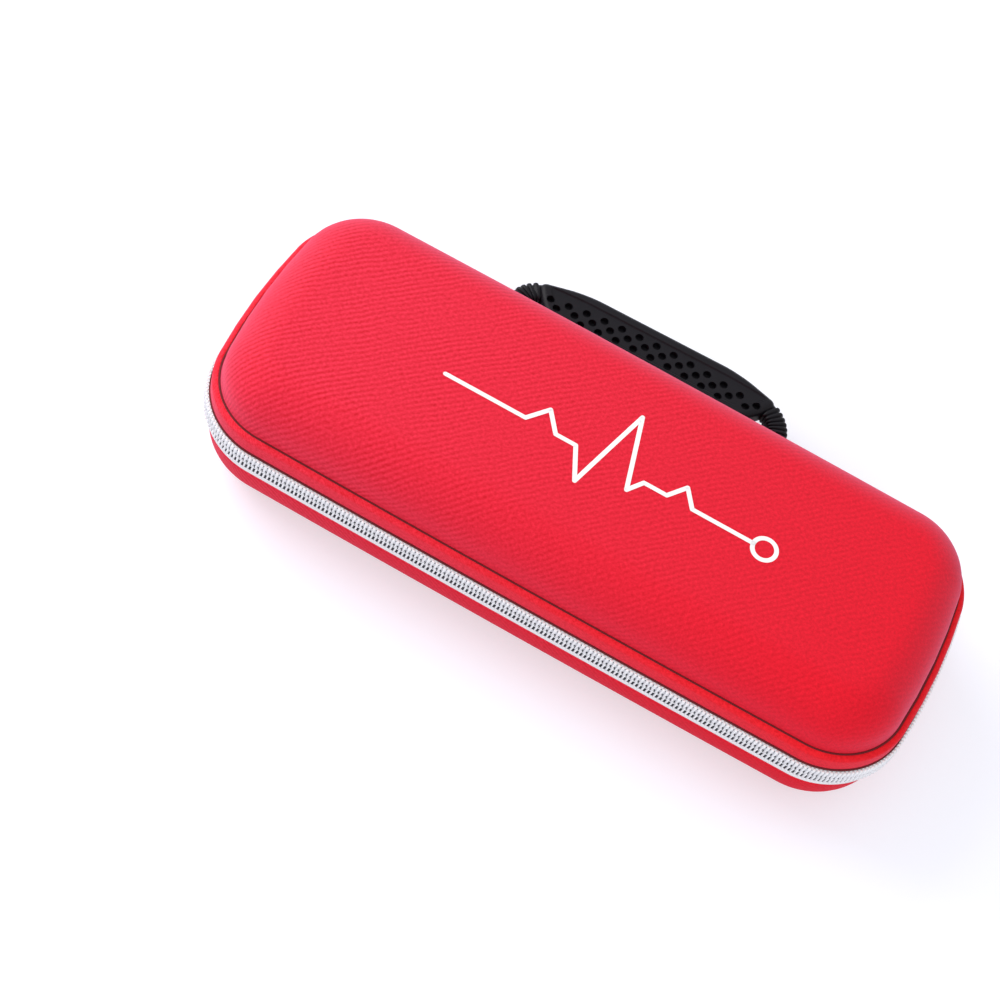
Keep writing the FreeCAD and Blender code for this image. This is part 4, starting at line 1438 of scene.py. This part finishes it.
def dress_outside(twill, ribs):
    red = red_cloth("red twill", twill, "plan", (0.88, 0.004, 0.018), (0.54, 0.002, 0.008), 500.0, 0.44, 0.47)
    base_red = red_cloth("base red twill", twill, "plan", (0.86, 0.006, 0.020), (0.58, 0.002, 0.008), 500.0,
                         0.4, 0.12)
    rim_red = red_cloth("red rim cloth", twill, "run", (0.93, 0.014, 0.022), (0.64, 0.004, 0.010), 1100.0,
                        0.2, 0.25)
    tape = ribbed_cloth("zipper tape", ribs, (0.9, 0.9, 0.91), (0.78, 0.78, 0.80), 1400.0, band_depth)
    teeth = grained("white teeth", (0.91, 0.91, 0.93), (0.82, 0.82, 0.85), 0.35, 1800.0, smooth_depth)
    cord = grained("white cord", (0.84, 0.84, 0.87), (0.7, 0.7, 0.73), 0.7, 2500.0, thread_depth)
    # Near-black painted shade for the gaps between the coil's legs
    shade = grained("painted gap shade", (0.02, 0.022, 0.03), (0.01, 0.01, 0.014), 0.8, 2500.0, thread_depth)
    thread = grained("white thread", (0.88, 0.88, 0.9), (0.72, 0.72, 0.75), 0.75, 3000.0, thread_depth)

    cover = lid_cover_piece(red)
    base = base_cover_piece(base_red)
    lid_rim_piece(rim_red)
    # Dark red painted shade, for the lid's groove and for the strip under the lid's rim
    painted_shade_red = grained("painted shade red", (0.16, 0.006, 0.010), (0.08, 0.003, 0.006), 0.8, 1500.0, thread_depth)
    groove_line_piece(painted_shade_red)
    base_rim_piece(rim_red)
    lid_halves = (("lid", "lid", ["lid_zipper_tape"], ["lid_zipper_coil"]),
                  ("lid_tail", "tail", ["zipper_tail_upper"], []))
    for prefix, part, tapes, coils in lid_halves:
        cloth = sweep(lid_tape_points(), half_arcs(part, tail_start, -tail_start))
        hold(new_piece(prefix + "_tape_cloth", cloth, None, tape, tapes), part)
        seam_shadow_piece(prefix + "_seam_line", part, painted_shade_red)
        cord_piece(prefix + "_coil_cord", part, 1, cord)
        shade_piece(prefix + "_coil_shade", part, chain_half_gap, dark_rows[1][1], shade)
        shade_piece(prefix + "_coil_upper_shade", part, *dark_rows[2], shade)
        teeth_piece(prefix + "_coil_teeth", part, teeth, coils, lid_tooth_low, lid_tooth_high,
                    lid_tooth_width, lid_tooth_tip_width)
    cloth = sweep(base_tape_points(), half_arcs("base", tail_start, -tail_start))
    hold(new_piece("base_tape_cloth", cloth, None, tape,
                   ["base_zipper_tape", "zipper_tail_lower"]), "base")
    cord_piece("base_coil_cord", "base", -1, cord)
    shade_piece("base_coil_shade", "base", *dark_rows[0], shade)
    shade_piece("base_coil_mouth", "base", dark_rows[1][0], -chain_half_gap, shade)
    teeth_piece("base_coil_teeth", "base", teeth, ["base_zipper_coil"], base_tooth_low, base_tooth_high,
                base_tooth_width, base_tooth_tip_width)
    stitch_row_piece("base_coil_stitches", "base", thread, base_tooth_low - stitch_radius,
                     flare_inset + tape_thickness)
    stops_piece(teeth)
    hinge_piece(rim_red)
    print_ink = grained("white print", (0.93, 0.93, 0.93), (0.86, 0.86, 0.87), 0.42, 900.0, thread_depth)
    print_piece(print_ink)


def dress_handle():
    rubber = grained("black rubber", (0.0085, 0.0078, 0.012), (0.005, 0.0045, 0.007), 0.45, 2600.0,
                     smooth_depth, Specular_IOR_Level=0.16)
    plastic = grained("black plastic", (0.022, 0.022, 0.024), (0.012, 0.012, 0.013), 0.35, 1500.0,
                      smooth_depth)
    metal = grained("slider metal", (0.62, 0.62, 0.64), (0.50, 0.50, 0.52), 0.28, 1200.0, smooth_depth,
                    Metallic=1.0)
    webbing = grained("webbing", (0.03, 0.03, 0.03), (0.015, 0.015, 0.015), 0.8, 1500.0, webbing_depth)
    grip_piece(rubber)
    neck_piece("handle_left_neck", -1, "handle_neck_left", rubber)
    neck_piece("handle_right_neck", 1, "handle_neck_right", rubber)
    dress_node("handle_feet", rubber)
    dress_node("washer_plates", plastic)
    dress_node("slider_body", metal)
    dress_node("pull_tab", metal)
    dress_node("handle_webbing", webbing)


def dress_inside(ribs):
    lining = ribbed_cloth("lining knit", ribs, (0.030, 0.030, 0.034), (0.014, 0.014, 0.017), 700.0,
                          knit_depth, "plan", 0.85, 0.3, 0.2)
    foam = grained("foam", (0.05, 0.05, 0.052), (0.03, 0.03, 0.032), 0.9, 1500.0, foam_depth)
    binding = ribbed_cloth("binding tape", ribs, (0.030, 0.030, 0.033), (0.014, 0.014, 0.016), 1300.0,
                           band_depth)
    elastic = ribbed_cloth("elastic", ribs, (0.035, 0.035, 0.038), (0.015, 0.015, 0.017), 900.0,
                           elastic_depth)
    net = grained("net thread", (0.03, 0.03, 0.033), (0.015, 0.015, 0.017), 0.7, 3000.0, thread_depth)

    lid_flat = lid_top - lining_inset
    core_piece("lid_foam", "lid", "lid_core", foam, lid_wall_inset + core_inset, lid_rim_top, lid_open,
               lid_top - core_inset, lid_edge_radius - core_inset, 1)
    core_piece("base_foam", "base", "base_core", foam, base_wall_inset + core_inset, base_rim_low - base_band,
               base_open, core_inset, base_edge_radius - core_inset, -1)
    lid_lining = lining_piece("lid_knit_lining", "lid", "lid_lining", lining, lid_wall_inset + lining_inset,
                              lid_rim_top, lid_open, lid_flat, lid_edge_radius - lining_inset, -1)
    base_lining = lining_piece("base_knit_lining", "base", "base_lining", lining,
                               base_wall_inset + lining_inset, base_rim_low - base_band, base_open,
                               lining_inset, base_edge_radius - lining_inset, 1)
    binding_piece("lid_edge_binding", "lid", "lid_binding", binding, lid_wall_inset, lid_binding_low.z,
                  lid_binding_high.z)
    binding_piece("base_edge_binding", "base", "base_binding", binding, base_wall_inset,
                  base_binding_high.z, base_binding_low.z)
    net_cloth = net_piece(net)
    hem = hem_piece(elastic)
    edging_piece(binding)
    strap_piece("strap_left_band", "strap_left", elastic)
    strap_piece("strap_right_band", "strap_right", elastic)
    patches_piece(binding)


make_camera()
make_studio()
twill_weave = twill_group()
band_ribs = ribs_group()
dress_inside(band_ribs)
dress_outside(twill_weave, band_ribs)
dress_handle()
